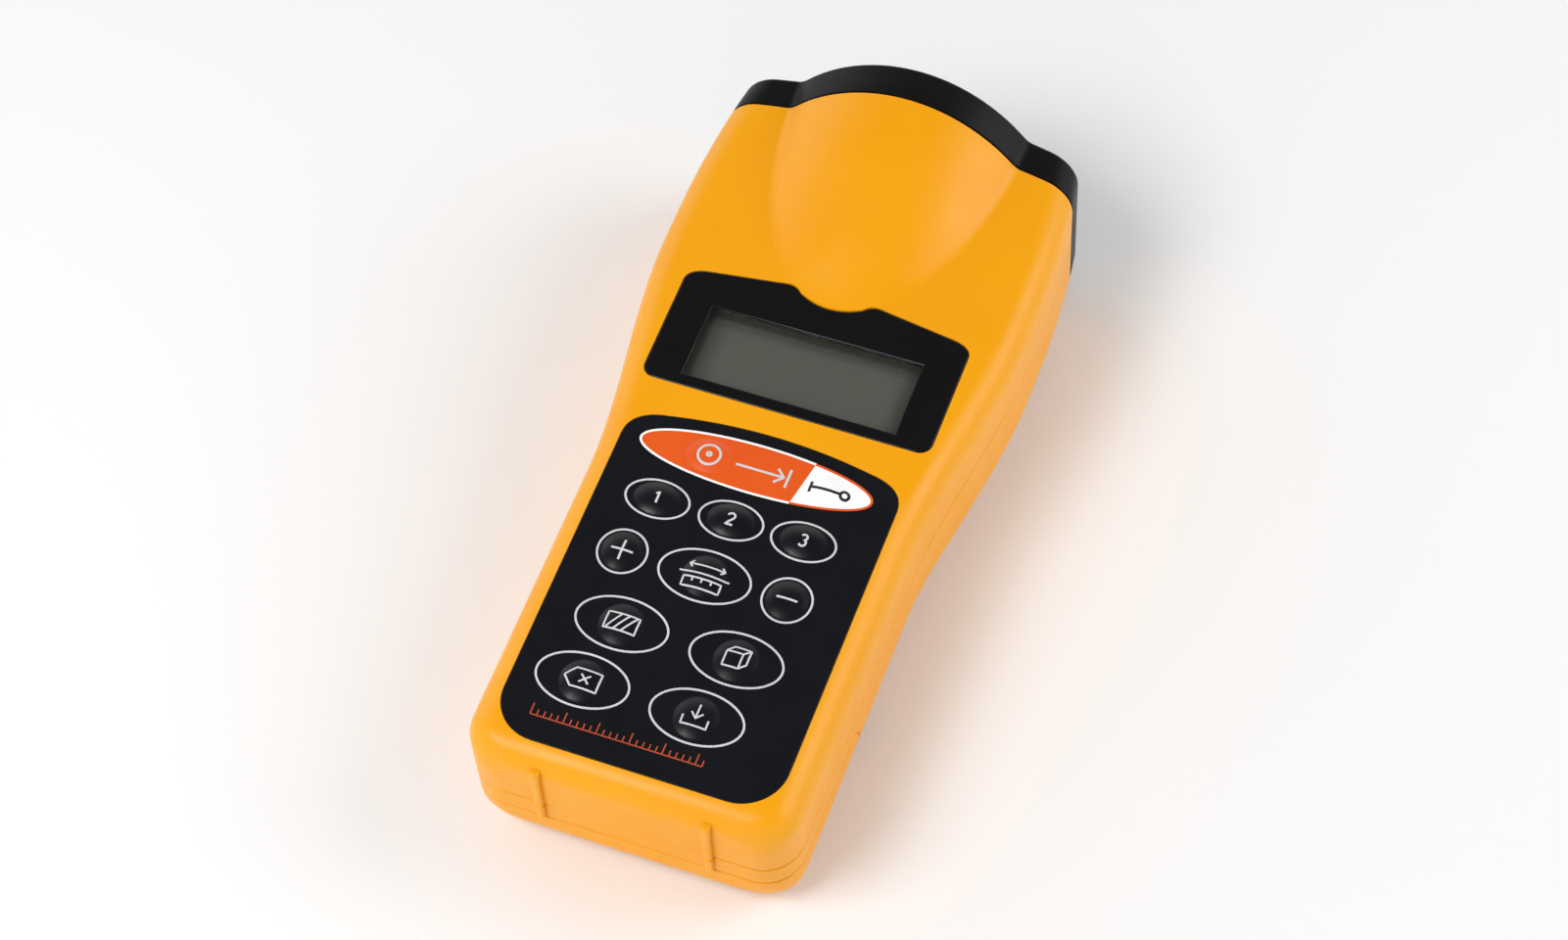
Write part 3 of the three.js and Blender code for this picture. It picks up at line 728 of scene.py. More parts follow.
RUBBED_YELLOW = srgb(250, 184, 50)
RUBBED = srgb(34, 34, 36)
YELLOW = moulded("yellow_abs", srgb(243, 165, 0), srgb(241, 160, 0), 0.36, wear=RUBBED_YELLOW, shine=0.34)
NOSE_BLACK = moulded("nose_black_abs", srgb(15, 15, 16), srgb(12, 12, 13), 0.4, wear=RUBBED, shine=0.15)
HORN_BLACK = moulded("horn_black_abs", srgb(24, 24, 26), srgb(20, 20, 22), 0.32, grain_depth=0.006)
PRINT_BLACK = film("overlay_black", srgb(9, 10, 17), 0.26, srgb(7, 8, 14), 0.45)
PRINT_WHITE = film("print_white", srgb(214, 215, 218), 0.36, srgb(204, 205, 208))
PRINT_BRIGHT = film("print_bright", srgb(253, 253, 252), 0.34, srgb(249, 249, 248))
PRINT_ORANGE = film("print_orange", srgb(232, 92, 22), 0.34, srgb(226, 86, 22), 0.4)
PRINT_RUST = film("print_rust", srgb(190, 78, 46), 0.36, srgb(178, 72, 42))
PRINT_INK = film("print_ink", srgb(30, 30, 34), 0.36)
GLOSS_BLACK = film("window_black", srgb(10, 9, 11), 0.12, srgb(12, 11, 13), 0.4)
PANE = clear_pane("window_clear", (0.97, 0.98, 0.97, 1))
LENS = clear_pane("lens_clear", (0.85, 0.9, 0.95, 1))
LCD = liquid_crystal("lcd_grey")
RUBBER = moulded("rubber_black", srgb(28, 28, 28), srgb(24, 24, 24), 0.75, grain_depth=0.03)
DARK_PLASTIC = moulded("black_plastic", srgb(36, 36, 38), srgb(30, 30, 32), 0.5)
WHITE_PLASTIC = moulded("white_plastic", srgb(222, 222, 216), srgb(212, 212, 206), 0.45)
STEEL = metal("zinc_steel", srgb(196, 198, 202), 0.34)
ALUMINIUM = metal("aluminium", srgb(212, 214, 216), 0.3)
BRASS = metal("brass", srgb(206, 164, 88), 0.28)
BOARD = board_material("circuit_board")
SCREEN = mesh_screen("screen_mesh")
JACKET = battery_jacket("battery_jacket")
SLEEVE = film("capacitor_sleeve", srgb(22, 30, 70), 0.3)
LEAD_RED = moulded("lead_red", srgb(190, 24, 20), srgb(176, 20, 18), 0.45)
LEAD_BLACK = moulded("lead_black", srgb(28, 28, 28), srgb(22, 22, 22), 0.45)


def paint(obj, *materials):
    obj.data.materials.clear()
    for material in materials:
        obj.data.materials.append(material)
    return obj


def finish_piece(obj, slot, *materials, stands_for=None, body="case"):
    """Paints a piece, has it ride on its body and hides the CAD node it stands for."""
    paint(obj, *materials)
    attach(obj, body)
    if stands_for:
        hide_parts(stands_for)
    return obj


# Shells

TOP = slice(0, N_TOP)
BELT = slice(N_TOP, N_TOP + N_BELT)
LOWER = slice(N_TOP + N_BELT, len(COLUMNS))
MIDDLE = (0, len(COLUMNS) - 1)
SIDE_Z = np.array([value if kind == "side" else FAR for kind, value in COLUMNS])
ROW_AT = ROW_Y[:, None] + 0 * SIDE_Z


def part_mask(*parts):
    mask = np.zeros(ROW_AT.shape, bool)
    for rows, columns in parts:
        mask[rows, columns] = True
    return mask


def shell(name, present, edge):
    """A closed shell of the skin's thickness over the grid points that are present.

    edge holds each point's distance in from the shell's nearest edge, which is rounded."""
    index = np.full((2,) + present.shape, -1)
    outer, inner = [], []
    for c in np.flatnonzero(present.any(axis=0)):
        outside = skin_column(c, eased(EDGE_ROUND, edge[:, c]))
        inside = skin_column(c, np.full(len(ROW_Y), WALL))
        for r in np.flatnonzero(present[:, c]):
            for side, flip in enumerate(([1, 1, 1], [-1, 1, 1])):
                if side and c in MIDDLE:
                    index[1, r, c] = index[0, r, c]
                    continue
                index[side, r, c] = len(outer)
                outer.append(outside[r] * flip)
                inner.append(inside[r] * flip)
    faces = []
    whole = present[:-1, :-1] & present[1:, :-1] & present[:-1, 1:] & present[1:, 1:]
    for r, c in np.argwhere(whole):
        for side in (0, 1):
            at = index[side]
            quad = [int(at[r, c]), int(at[r, c + 1]), int(at[r + 1, c + 1]), int(at[r + 1, c])]
            faces.append(quad[::-1] if side else quad)
    faces += tail_face(present[0], edge[0], index[:, 0])
    return thicken(name, outer, inner, faces, FINE_MERGE)


def tail_face(present, edge, index):
    """Closes the tail across its first row: strips by the rounded seams, one flat face for the rest."""
    columns = np.flatnonzero(present)
    flat_part = [c for c in columns if edge[c] >= EDGE_ROUND - TINY]
    faces = []
    for a, b in zip(columns, columns[1:]):
        if b - a == 1 and not (a in flat_part and b in flat_part):
            faces.append([int(index[0, a]), int(index[1, a]), int(index[1, b]), int(index[0, b])])
    right = [int(index[0, c]) for c in flat_part]
    left = [int(index[1, c]) for c in reversed(flat_part)]
    faces.append(list(dict.fromkeys(right + left)))
    return faces


def on_side(distance, elsewhere=FAR):
    """A distance for the columns of the straight side, and another value for the rest."""
    return np.where(SIDE_Z < FAR, distance, elsewhere)


def front_edge():
    return np.minimum(on_side(SIDE_Z - TOP_Z[-1]), BODY_END - ROW_AT)


def rear_edge():
    across = np.maximum(0, ROW_AT - DOOR_FRONT - SEAM)
    above = on_side(np.maximum(0, SIDE_Z - DOOR_TOP - SEAM), 0)
    from_parting = on_side(BELT_Z[0] - SIDE_Z)
    return np.minimum(np.minimum(from_parting, BODY_END - ROW_AT), np.hypot(across, above))


def door_edge():
    return np.minimum(on_side(DOOR_TOP - SIDE_Z), DOOR_FRONT - ROW_AT)


def overlay_outline(grow=0.0):
    """The keypad overlay's edge: a rounded foot, straight sides and a shallow arch at the top."""
    half = OVERLAY_HIGH[0] + grow
    bottom = OVERLAY_LOW[1] - grow
    shoulder = -3.5 + grow
    side = -9.7
    corner = 8.5 + grow
    top_corner = 7.3 + grow
    crown = 2 * (OVERLAY_HIGH[1] + grow) - shoulder
    points = arc(half - corner, bottom + corner, corner, -90, 0, 12)
    points.append((half, side))
    points += quad_curve((half, side), (half, shoulder - 1), (half - top_corner, shoulder), 12)
    points += quad_curve((half - top_corner, shoulder), (0, crown), (top_corner - half, shoulder), 24)
    points += quad_curve((top_corner - half, shoulder), (-half, shoulder - 1), (-half, side), 12)
    points += arc(corner - half, bottom + corner, corner, 180, 270, 12)
    return points


def window_outline(grow=0.0):
    """The display plate's edge, with the dip that clears the tip of the swelling."""
    half = WINDOW_HIGH[0] + grow
    bottom = WINDOW_LOW[1] - grow
    side = (half, 26.2)
    shoulder = (24.5, 29.3 + grow)
    crest = (9.6, 31.4 + grow)
    dip_x, dip_y = 6.2, 30.1 + grow
    right = arc(half - WINDOW_CORNER, bottom + WINDOW_CORNER, WINDOW_CORNER, -90, 0, 8)
    right.append(side)
    right += quad_curve(side, (half, 28.7 + grow), shoulder, 8)
    right.append(crest)
    right += quad_curve(crest, (7.6, 31.7 + grow), (dip_x, dip_y), 6)
    dip = quad_curve((dip_x, dip_y), (0, 26.7 + grow), (-dip_x, dip_y), 16)[:-1]
    return right + dip + [(-x, y) for x, y in reversed(right)]


SEAT_GAP = 0.12
SEAT_DEEP = 0.06
CUTTER_TOP = FACE_Z + 2
WELL_RIM = 0.9
WELL_Z = (30, 39)


def make_front_case():
    everywhere = slice(None)
    obj = shell("front_shell", part_mask((everywhere, TOP)), front_edge())
    for outline, floor in ((overlay_outline, OVERLAY_LOW[2]), (window_outline, WINDOW_LOW[2])):
        boolean(obj, prism("cut", outline(SEAT_GAP), floor - SEAT_DEEP, CUTTER_TOP))
    well_half = APERTURE_HALF + WELL_RIM
    well_low = (-well_half, APERTURE_LOW - WELL_RIM, WELL_Z[0])
    boolean(obj, block("cut", well_low, (well_half, APERTURE_HIGH + WELL_RIM, WELL_Z[1])))
    ribs(obj, PARTING_Z + SEAM / 2, RIB_HIGH)
    shade(tidy(obj, FINE_MERGE))
    return finish_piece(obj, "yellow_shell", YELLOW, stands_for="front_case")


def ribs(obj, z0, z1):
    """Two small upright ribs on the tail, a little narrower towards the foot."""
    for x in (-RIB_X, RIB_X):
        rib = block("rib", (x - 1, TAIL_Y - RIB_PROUD, z0), (x + 1, TAIL_Y + RIB_SUNK, z1))
        for vertex in rib.data.vertices:
            half = RIB_FOOT + RIB_FLARE * (vertex.co.z / MM - RIB_LOW) / (RIB_HIGH - RIB_LOW)
            vertex.co.x = (x + half * math.copysign(1, vertex.co.x / MM - x)) * MM
        boolean(obj, soften(rib, RIB_ROUND, 5), "UNION")


SCREW_HOLE_R = 2.6
SCREW_HOLE_TOP = 2.0
CUTTER_FOOT = -3


def make_rear_case():
    mask = part_mask((slice(None), BELT), (slice(N_DOOR_ROWS, None), LOWER))
    obj = shell("rear_shell", mask, rear_edge())
    for name in ("tail_left", "tail_right", "nose_left", "nose_right"):
        x, y, _ = centre_of(f"case_screw_{name}")
        top = cad_box(f"case_screw_{name}")[0][2] + SCREW_HOLE_TOP
        profile = [(0, CUTTER_FOOT), (SCREW_HOLE_R, CUTTER_FOOT), (SCREW_HOLE_R, top), (0, top)]
        boolean(obj, lathe("cut", profile, (x, y, 0), (0, 0, 1), 40))
    ribs(obj, RIB_LOW, PARTING_Z - SEAM / 2)
    shade(tidy(obj, FINE_MERGE))
    return finish_piece(obj, "yellow_shell", YELLOW, stands_for="rear_case")


def make_door():
    obj = shell("battery_door_shell", part_mask((slice(0, N_DOOR_ROWS), LOWER)), door_edge())
    shade(obj)
    return finish_piece(obj, "yellow_shell", YELLOW, stands_for="battery_door", body="battery_door")


# Nose

NOSE_START = 70.0
CAP_ROUND = 0.9
LIP_ROUND = 0.5
LASER_BORE = [(0, -8), (1.4, -8), (1.4, -0.35), (1.75, 0.0), (1.75, 4), (0, 4)]


def nose_ring(y_at, inset):
    """One closed ring of the skin round the nose, at a plan curve y_at(x)."""
    order = [(1, c) for c in range(len(COLUMNS))]
    order += [(-1, c) for c in reversed(range(len(COLUMNS))) if c not in MIDDLE]
    ring = []
    for side, c in order:
        y = np.asarray(NOSE_START)
        for _ in range(SETTLING):
            x, z = section_point(c, y, FAR, np.asarray(float(inset)))
            y = y_at(x)
        ring.append(np.array([float(x) * side, float(y), float(z)]))
    return ring


def cap_front(x):
    return NOSE_Y - CAP_FRONT_BOW * x ** 2


def cap_rear(x):
    return CAP_REAR + SEAM / 2 - CAP_REAR_BOW * x ** 2


def mouth_ring(ring, radius, back):
    """A circle about the horn's axis with a point for each point of a ring."""
    points = []
    for x, _, z in ring:
        reach = math.hypot(x, z - HORN_Z)
        mx, mz = x / reach * radius, HORN_Z + (z - HORN_Z) / reach * radius
        points.append(np.array([mx, cap_front(mx) - back, mz]))
    return points


def side_of_cap(share):
    """Plan curve of the cap's side, a share of the way from its front to its rear."""
    return lambda x: (cap_front(x) - CAP_ROUND) * (1 - share) + (cap_rear(x) + 0.3) * share


def make_nose_cap():
    """Rings from the inside of the mouth over the front and the side to the inside of the cap."""
    edge = nose_ring(cap_front, CAP_ROUND)
    rings = [mouth_ring(edge, HORN_R, CAP_WALL)]
    for angle in np.radians((0, 30, 60, 90)):
        radius = HORN_R + LIP_ROUND * (1 - math.cos(angle))
        rings.append(mouth_ring(edge, radius, LIP_ROUND * (1 - math.sin(angle))))
    circle = rings[-1]
    for share in (0.25, 0.5, 0.75):
        blended = [a + (b - a) * share for a, b in zip(circle, edge)]
        rings.append([np.array([x, cap_front(x), z]) for x, _, z in blended])
    rings.append(edge)
    for angle in np.radians((15, 30, 45, 60, 75, 90)):
        inset = CAP_ROUND * (1 - math.sin(angle))
        back = CAP_ROUND * (1 - math.cos(angle))
        rings.append(nose_ring(lambda x, back=back: cap_front(x) - back, inset))
    for share in (0.35, 0.7):
        rings.append(nose_ring(side_of_cap(share), 0))
    for step in reversed(PART_STEPS):
        rings.append(nose_ring(lambda x, step=step: cap_rear(x) + step, eased(EDGE_ROUND, step)))
    rings.append(nose_ring(cap_rear, WALL))
    rings.append(nose_ring(lambda x: cap_front(x) - CAP_WALL, WALL))
    vertices = [point for ring in rings for point in ring]
    faces = wrapped(len(rings), len(rings[0]))
    obj = tidy(new_object("nose_cap_shell", vertices, faces), FINE_MERGE)
    x, _, z = centre_of("laser_barrel")
    boolean(obj, lathe("cut", LASER_BORE, (x, cap_front(x), z), (0, 1, 0), 48))
    shade(tidy(obj, FINE_MERGE), 30)
    return finish_piece(obj, "nose_black", NOSE_BLACK, stands_for="nose_cap")


def make_horn():
    """A cone that flares a little, with a flange at its mouth and a collar round the transducer."""
    (_, rear_y, _), (_, mouth_y, _) = cad_box("horn_cone")
    throat_y = cad_box("transducer_screen")[0][1]
    mouth, flange, throat = HORN_R + 0.1, 21.4, 7.6
    collar = cad_box("transducer_gasket")[1][0] + 0.1
    outside = collar + 1.3
    profile = [(mouth, mouth_y), (flange, mouth_y), (flange, mouth_y - 1.4), (HORN_R + 1.4, mouth_y - 1.6)]
    profile += [(outside, throat_y + 1.6), (outside, rear_y), (collar, rear_y), (collar, throat_y - 0.1)]
    profile += [(throat, throat_y - 0.1), (throat, throat_y + 0.9)]
    cone_y, cone_end = throat_y + 0.9, mouth_y - 0.3
    steps = 14
    for i in range(1, steps + 1):
        t = i / steps
        flare = t - 0.12 * math.sin(math.pi * t) / math.pi
        profile.append((throat + (mouth - throat) * flare, cone_y + (cone_end - cone_y) * t))
    obj = lathe("horn_shell", profile, (0, 0, HORN_Z), (0, 1, 0), 128)
    shade(obj, 35)
    return finish_piece(obj, "horn_black", HORN_BLACK, stands_for="horn_cone")


# Display

def make_display():
    aperture = [
        (-APERTURE_HALF, APERTURE_LOW),
        (APERTURE_HALF, APERTURE_LOW),
        (APERTURE_HALF, APERTURE_HIGH),
        (-APERTURE_HALF, APERTURE_HIGH),
    ]
    edge_round = 0.22
    bezel = plate("display_plate", [window_outline(), aperture], WINDOW_LOW[2], FACE_Z, edge_round)
    shade(bezel, 50)
    finish_piece(bezel, "window_gloss", GLOSS_BLACK, stands_for="display_window")
    gap = 0.02
    pane = block(
        "display_pane",
        (-APERTURE_HALF + gap, APERTURE_LOW + gap, WINDOW_LOW[2] + 0.2),
        (APERTURE_HALF - gap, APERTURE_HIGH - gap, FACE_Z - 0.25),
    )
    finish_piece(pane, "lens_glass", PANE, GLOSS_BLACK)
    for face in pane.data.polygons:
        face.material_index = 0 if abs(face.normal.z) > 0.5 else 1


# Keypad

PRINT_RISE = 0.03
PRINT_DEEP = 0.05
MARK_LANES = 5
LAYER = 0.003
MOST_LAYERS = 8
RING_WIDTH = 0.4
OUTLINE_WIDTH = 0.45
STROKE = 0.42
WIDE_KEYS = ("unit", "area", "volume", "clear", "store")
LEGEND_STROKES = {"measure": 0.48, "laser": 0.55, **{name: 0.34 for name in WIDE_KEYS}}
DOME_RINGS = 18
DOME_SIDES = 72
DOME_RISE = 0.012
DOME_RIM = 0.14
DOME_RIM_RISE = 0.004
DOME_THICK = 0.28


class Key:
    """A key's place from its CAD node, and the height of its raised dome."""

    def __init__(self, name):
        low, high = cad_box(f"key_{name}")
        self.name = name
        self.body = f"key_{name}"
        self.x, self.y, _ = (low + high) / 2
        self.a, self.b, _ = (high - low) / 2

    def height(self, x, y):
        reach = math.hypot((x - self.x) / self.a, (y - self.y) / self.b)
        return KEY_PROUD * (1 - min(reach, 1.0) ** 2.2) ** 1.1

    def hole(self, grow=0.0):
        return ellipse(self.x, self.y, self.a + grow, self.b + grow)


def ribbon(points, width, height, closed, lanes, rise):
    """A printed line over a surface of the given height, as a thin closed strip.

    It follows points (x, y), has so many points across its width and stands up by its rise."""
    path = [np.array(p, float) for p in points]
    count = len(path)
    vertices, faces = [], []
    for i, point in enumerate(path):
        before = path[i - 1] if closed or i else point
        after = path[(i + 1) % count] if closed or i < count - 1 else point
        along = (after - before) / max(np.linalg.norm(after - before), TINY)
        side = np.array([-along[1], along[0]]) * width / 2
        for share in np.linspace(1, -1, lanes):
            x, y = point + side * share
            z = FACE_Z + height(x, y)
            vertices += [(x, y, z + rise), (x, y, z - PRINT_DEEP)]
    row = 2 * lanes
    for i in range(count if closed else count - 1):
        a, b = row * i, row * ((i + 1) % count)
        for lane in range(0, row - 2, 2):
            faces.append((a + lane, a + lane + 2, b + lane + 2, b + lane))
            faces.append((a + lane + 1, b + lane + 1, b + lane + 3, a + lane + 3))
        faces.append((a, b, b + 1, a + 1))
        faces.append((a + row - 2, a + row - 1, b + row - 1, b + row - 2))
    if not closed:
        cap = list(range(0, row, 2)) + list(range(row - 1, 0, -2))
        faces += [tuple(reversed(cap)), tuple(i + row * (count - 1) for i in cap)]
    return vertices, faces


def dense(points, step=0.35):
    """The same polyline with a point at least every step."""
    result = [points[0]]
    for a, b in zip(points, points[1:]):
        count = max(1, math.ceil(math.dist(a, b) / step))
        start, whole = np.array(a), np.array(b) - np.array(a)
        result += [tuple(start + whole * i / count) for i in range(1, count + 1)]
    return result


def strokes(name, lines, width, height, place=(0, 0), lanes=2):
    """Several printed lines about a place, joined into one mesh.

    Each lies a little above the one before, so that no faces coincide where two cross."""
    vertices, faces = [], []
    for layer, line in enumerate(lines):
        rise = PRINT_RISE + min(layer, MOST_LAYERS) * LAYER
        points = [(place[0] + x, place[1] + y) for x, y in line]
        closed = math.dist(points[0], points[-1]) < TINY
        path = dense(points)
        more, shapes = ribbon(path[:-1] if closed else path, width, height, closed, lanes, rise)
        faces += [tuple(i + len(vertices) for i in shape) for shape in shapes]
        vertices += more
    return new_object(name, vertices, faces)


# Legends are plain signs made of strokes: polylines in millimetres about the middle of the key's ring, or
# about the sign's place in the long ellipse.

def rectangle(half_x, half_y, y=0.0):
    low, high = y - half_y, y + half_y
    return [(-half_x, low), (half_x, low), (half_x, high), (-half_x, high), (-half_x, low)]


def double_arrow(half, y=0.0, head=0.7):
    """A line with an arrow head at each end."""
    lines = [[(-half, y), (half, y)]]
    for side in (-1, 1):
        lines.append([(side * (half - head), y + head), (side * half, y), (side * (half - head), y - head)])
    return lines


def number(lines, size=1.2):
    return [[(x * size, y * size) for x, y in line] for line in lines]


SYMBOLS = {
    "plus": [[(-2.1, 0), (2.1, 0)], [(0, -2.1), (0, 2.1)]],
    "minus": [[(-2.0, 0), (2.0, 0)]],
    "memory_1": number([[(-0.35, 0.55), (0.1, 1), (0.1, -1)]]),
    "memory_2": number([arc(0, 0.45, 0.55, 170, -35, 14) + [(-0.55, -1), (0.6, -1)]]),
    "memory_3": number([arc(0, 0.48, 0.5, 150, -80, 14) + arc(0, -0.48, 0.54, 80, -150, 14)]),
    "unit": double_arrow(3.4, 1.75) + [[(-4.8, 0), (4.8, 0)]] + [rectangle(3.6, 0.95, -1.95)]
    + [[(x, -1.0), (x, -1.8)] for x in (-1.8, 0, 1.8)],
    "area": [rectangle(3.0, 1.7)] + [[(x - 1.1, -1.7), (x + 1.1, 1.7)] for x in (-1.5, 0, 1.5)],
    "volume": [
        [(-2.1, -1.9), (1.0, -1.9), (1.0, 1.1), (-2.1, 1.1), (-2.1, -1.9)],
        [(-2.1, 1.1), (-0.9, 2.2), (2.2, 2.2), (1.0, 1.1)],
        [(2.2, 2.2), (2.2, -0.8), (1.0, -1.9)],
    ],
    "clear": [
        [(-3.4, 0), (-1.7, 1.9), (3.2, 1.9), (3.2, -1.9), (-1.7, -1.9), (-3.4, 0)],
        [(-0.4, 0.85), (1.4, -0.85)], [(-0.4, -0.85), (1.4, 0.85)],
    ],
    "store": [
        [(0, 2.4), (0, -0.5)], [(-1.1, 0.6), (0, -0.6), (1.1, 0.6)],
        [(-2.4, -0.3), (-2.4, -2.0), (2.4, -2.0), (2.4, -0.3)],
    ],
    "measure": [arc(0, 0, 2.1, 0, 360, 36), arc(0, 0, 0.4, 0, 360, 12), [(5.2, 0), (14.6, 0)]]
    + [[(13.0, 1.5), (14.6, 0), (13.0, -1.5)], [(15.4, 2.0), (15.4, -2.0)]],
    "laser": [[(-3.6, 1.1), (-3.6, -1.1)], [(-3.6, 0), (2.2, 0)], arc(3.0, 0, 0.8, 0, 360, 20)],
}
LEGEND_PLACES = {"measure": (-9.6, -9.3), "laser": (13.9, -9.6)}
RING_AXES = {"memory": (6.3, 4.15), "sign": (4.8, 4.8), "wide": (8.9, 5.5)}
RING_CENTRES = {
    "memory_1": (-15.3, -21.0, "memory"),
    "memory_2": (-0.95, -21.0, "memory"),
    "memory_3": (13.1, -21.0, "memory"),
    "plus": (-17.3, -33.4, "sign"),
    "minus": (14.5, -33.4, "sign"),
    "unit": (-1.3, -33.5, "wide"),
    "area": (-11.8, -47.5, "wide"),
    "volume": (10.2, -47.7, "wide"),
    "clear": (-14.2, -60.4, "wide"),
    "store": (7.7, -60.8, "wide"),
}
MEASURE = {"x": -0.55, "y": -9.3, "a": 22.65, "b": 5.2, "split": 8.7, "slant": 0.2}
KEYS = [Key(name) for name in SYMBOLS]


def flat(x, y):
    return 0.0


def dome_patch(key, colour):
    """The formed dome of one key: its rim lies on the overlay, its top stands up by the key's dome height.
    """
    rings, around = DOME_RINGS, DOME_SIDES
    vertices, faces = [(key.x, key.y, FACE_Z + KEY_PROUD)], []
    for i in range(1, rings + 2):
        share = min(1.0, i / rings)
        extra = DOME_RIM if i > rings else 0
        for k in range(around):
            angle = 2 * math.pi * k / around
            x = key.x + (key.a * share + extra) * math.cos(angle)
            y = key.y + (key.b * share + extra) * math.sin(angle)
            rise = DOME_RISE + key.height(x, y) if i <= rings else DOME_RIM_RISE
            vertices.append((x, y, FACE_Z + rise))
    for k in range(around):
        faces.append((0, 1 + k, 1 + (k + 1) % around))
    for i in range(rings):
        for k in range(around):
            a, b = 1 + i * around + k, 1 + i * around + (k + 1) % around
            faces.append((a, a + around, b + around, b))
    under = [(x, y, z - DOME_THICK) for x, y, z in vertices]
    obj = thicken(f"dome_{key.name}", vertices, under, faces, COARSE_MERGE)
    shade(obj, 60)
    paint(obj, colour)
    blend_key(obj)
    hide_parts(key.body)
    return obj


def blend_key(obj):
    """Bakes a piece's placement into its mesh."""
    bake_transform(obj)


def make_overlay():
    """The black sheet, and the two printed parts of the long ellipse that fill its opening."""
    hole = {key.name: key.hole() for key in KEYS}
    holes = [outline for name, outline in hole.items() if name in RING_CENTRES]
    low_cut, high_cut = lozenge_cuts()
    left = lozenge_arc(high_cut, low_cut + 2 * math.pi, 120)
    right = lozenge_arc(low_cut, high_cut, 40)
    lozenge = left[:-1] + right[:-1]
    edge_round = 0.06
    outlines = [overlay_outline()] + holes + [lozenge]
    sheet = plate("overlay_sheet", outlines, OVERLAY_LOW[2], FACE_Z, edge_round)
    shade(sheet, 50)
    finish_piece(sheet, "keypad_print", PRINT_BLACK, stands_for="keypad_overlay")
    for name, outline, key, colour in (
        ("measure_print", left, "measure", PRINT_ORANGE),
        ("laser_print", right, "laser", PRINT_BRIGHT),
    ):
        part = plate(name, [outline, hole[key]], OVERLAY_LOW[2], FACE_Z, 0.0)
        shade(part, 50)
        finish_piece(part, "keypad_print", colour)


def lozenge_cuts():
    """The two angles at which the slanting line crosses the long ellipse."""
    slanting = MEASURE["slant"] * MEASURE["b"]
    turn = math.atan2(slanting, MEASURE["a"])
    half = math.acos((MEASURE["split"] - MEASURE["x"]) / math.hypot(slanting, MEASURE["a"]))
    return -half - turn, half - turn


def lozenge_arc(start, end, count, inset=0.0):
    """Points of the long ellipse from one angle to another."""
    a, b = MEASURE["a"] - inset, MEASURE["b"] - inset
    return [
        (MEASURE["x"] + a * math.cos(angle), MEASURE["y"] + b * math.sin(angle))
        for angle in np.linspace(start, end, count)
    ]


def make_keys():
    for key in KEYS:
        colour = {"measure": PRINT_ORANGE, "laser": PRINT_BRIGHT}.get(key.name, PRINT_BLACK)
        dome_patch(key, colour)
        where = LEGEND_PLACES.get(key.name) or RING_CENTRES[key.name][:2]
        width = LEGEND_STROKES.get(key.name, STROKE)
        mark = strokes(f"mark_{key.name}", SYMBOLS[key.name], width, key.height, where, MARK_LANES)
        shade(mark, 30)
        paint(mark, {"laser": PRINT_INK}.get(key.name, PRINT_WHITE))
        blend_key(mark)


def make_prints():
    """Printed rings round the keys, the thin line round the long ellipse and the scale along the foot."""
    rings = []
    for x, y, size in RING_CENTRES.values():
        a, b = RING_AXES[size]
        ring = ellipse(x, y, a - RING_WIDTH / 2, b - RING_WIDTH / 2, 96)
        rings.append(ring + ring[:1])
    obj = strokes("ring_prints", rings, RING_WIDTH, flat)
    finish_piece(shade(obj), "keypad_print", PRINT_WHITE)
    low_cut, high_cut = lozenge_cuts()
    for name, start, end, colour in (
        ("measure_outline", high_cut, low_cut + 2 * math.pi, PRINT_BRIGHT),
        ("laser_outline", low_cut, high_cut, PRINT_ORANGE),
    ):
        obj = strokes(name, [lozenge_arc(start, end, 120, 0.1)], OUTLINE_WIDTH, flat)
        finish_piece(shade(obj), "keypad_print", colour)
    make_scale()


def make_scale():
    """A plain ruler scale printed along the foot of the overlay."""
    y, left, right = -69.6, -20.5, 12.0
    marks = 27
    long_mark, short_mark, width = 2.2, 1.2, 0.24
    lines = [[(left, y), (right, y)]]
    for i in range(marks):
        x = left + (right - left) * i / (marks - 1)
        lines.append([(x, y), (x, y + (long_mark if i % 5 == 0 else short_mark))])
    obj = strokes("scale_print", lines, width, flat)
    finish_piece(shade(obj), "keypad_print", PRINT_RUST)


# Inside

def make_battery_bay():
    """Bulkhead, tray and rails of the battery bay, seen when the door is off."""
    half = 28.6
    rail_x, rail_half = 28.9, 0.6
    bulkhead_thick = 1.4
    overlap = 0.1
    front = DOOR_FRONT + 1.2
    back = front + overlap
    top = cad_box("main_board")[0][2] - 0.1
    bulkhead = block("a", (-half, front, BACK_Z + 2.4), (half, front + bulkhead_thick, top), 0.3)
    tray = block("b", (-half, TAIL_Y + 2.6, BATTERY_HIGH[2] + 0.2), (half, back, top), 0.2)
    rails = []
    for x in (-rail_x, rail_x):
        low = (x - rail_half, TAIL_Y + 3.5, DOOR_TOP + 0.6)
        rails.append(block("r", low, (x + rail_half, back, top), 0.2))
    obj = join("battery_bay", [bulkhead, tray] + rails)
    finish_piece(shade(obj), "yellow_shell", YELLOW)


INSIDE = (
    (ALUMINIUM, ("ultrasonic_transducer", "crystal")),
    (SCREEN, ("transducer_screen",)),
    (RUBBER, ("transducer_gasket", "lcd_connector")),
    (BRASS, ("laser_barrel",)),
    (LENS, ("laser_lens",)),
    (DARK_PLASTIC, ("laser_cradle", "lcd_frame", "buzzer", "processor", "battery_snap")),
    (LCD, ("lcd_glass",)),
    (BOARD, ("main_board",)),
    (WHITE_PLASTIC, ("transformer",)),
    (SLEEVE, ("capacitor",)),
    (LEAD_RED, ("battery_lead_red",)),
    (LEAD_BLACK, ("battery_lead_black",)),
    (STEEL, ("switch_", "case_screw_", "board_screw_")),
)


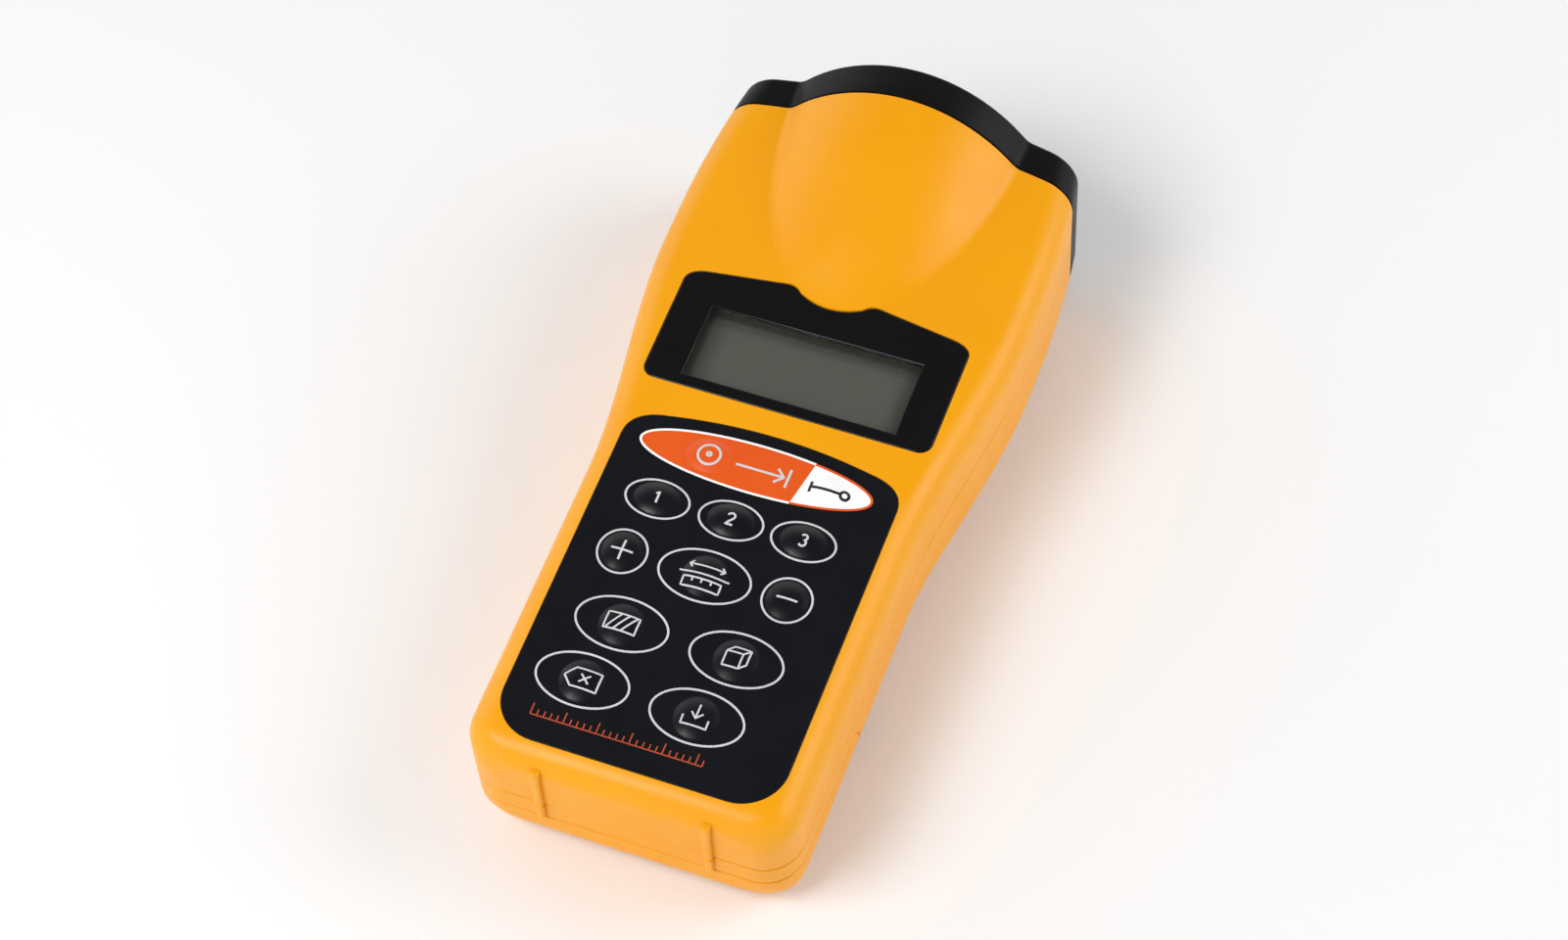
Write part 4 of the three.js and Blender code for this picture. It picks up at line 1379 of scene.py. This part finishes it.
def paint_inside():
    """Materials of the CAD nodes that stay, by how their names start."""
    for name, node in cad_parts.items():
        for material, starts in INSIDE:
            if name.startswith(starts):
                paint(node, material)
    paint(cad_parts["battery"], JACKET)


# Stage

def make_stage():
    """A pale floor that leans to meet the nose and the tail, with the world and the lights."""
    floor_half = 2.0
    rise = BACK_Z * 0.82
    run_of_slope = NOSE_Y - TAIL_Y - 5
    under_nose = (0, 0.075, -0.0002)
    floor = new_object("floor", [(-1, -1, 0), (1, -1, 0), (1, 1, 0), (-1, 1, 0)], [(0, 1, 2, 3)])
    floor.scale = (floor_half / MM, floor_half / MM, 1)
    floor.location = under_nose
    floor.rotation_euler = (-math.atan(rise / run_of_slope), 0, 0)
    made = Nodes("floor_white")
    drift = made.ramp(made.noise(0.004, 2), 0, 1)
    made.principled(
        Base_Color=made.mix(drift, (0.93, 0.93, 0.93, 1), (0.95, 0.95, 0.95, 1)),
        Roughness=0.7,
    )
    paint(floor, made.material)
    make_world()
    soft_light("key", place=(-0.33, -0.40, 0.74), size=0.42, power=4.5)
    soft_light("right", place=(0.62, 0.30, 0.50), size=0.50, power=2.4)
    soft_light("left", place=(-0.70, 0.30, 0.36), size=0.50, power=0.4)


def make_world():
    """A studio that is bright round the horizon and dim overhead, where the flat face mirrors it."""
    world = bpy.data.worlds.new("studio")
    world.use_nodes = True
    tree = world.node_tree
    place = tree.nodes.new("ShaderNodeTexCoord")
    split = tree.nodes.new("ShaderNodeSeparateXYZ")
    level = tree.nodes.new("ShaderNodeMapRange")
    level.interpolation_type = "SMOOTHSTEP"
    for key, number in (("From Min", 0.25), ("From Max", 0.8), ("To Min", 1.08), ("To Max", 0.16)):
        level.inputs[key].default_value = number
    tree.links.new(place.outputs["Generated"], split.inputs[0])
    tree.links.new(split.outputs["Z"], level.inputs["Value"])
    tree.links.new(level.outputs["Result"], tree.nodes["Background"].inputs["Strength"])
    tree.nodes["Background"].inputs["Color"].default_value = (1, 1, 1, 1)
    bpy.context.scene.world = world


def soft_light(name, place, size, power):
    light = bpy.data.lights.new(name, "AREA")
    light.energy = power
    light.size = size
    obj = placed(name, light)
    obj.location = place
    obj.rotation_euler = (-Vector(place)).to_track_quat("-Z", "Y").to_euler()


def make_camera():
    azimuth, elevation, roll = math.radians(24.3), math.radians(57.9), math.radians(-4.7)
    camera = bpy.data.cameras.new("camera")
    camera.lens = 84.2
    camera.sensor_width = 36
    camera.clip_start = 0.01
    obj = placed("camera", camera)
    back = Vector((
        math.sin(azimuth) * math.cos(elevation),
        -math.cos(azimuth) * math.cos(elevation),
        math.sin(elevation),
    ))
    obj.location = Vector((0.1512, -0.3328, 0.6062))
    obj.rotation_mode = "QUATERNION"
    turn = (-back).to_track_quat("-Z", "Y").to_matrix() @ Matrix.Rotation(roll, 3, "Z")
    obj.rotation_quaternion = turn.to_quaternion()
    bpy.context.scene.camera = obj


make_front_case()
make_rear_case()
make_door()
make_nose_cap()
make_horn()
make_display()
make_overlay()
make_keys()
make_prints()
make_battery_bay()
paint_inside()
make_stage()
make_camera()
bpy.context.scene.view_settings.view_transform = "Standard"
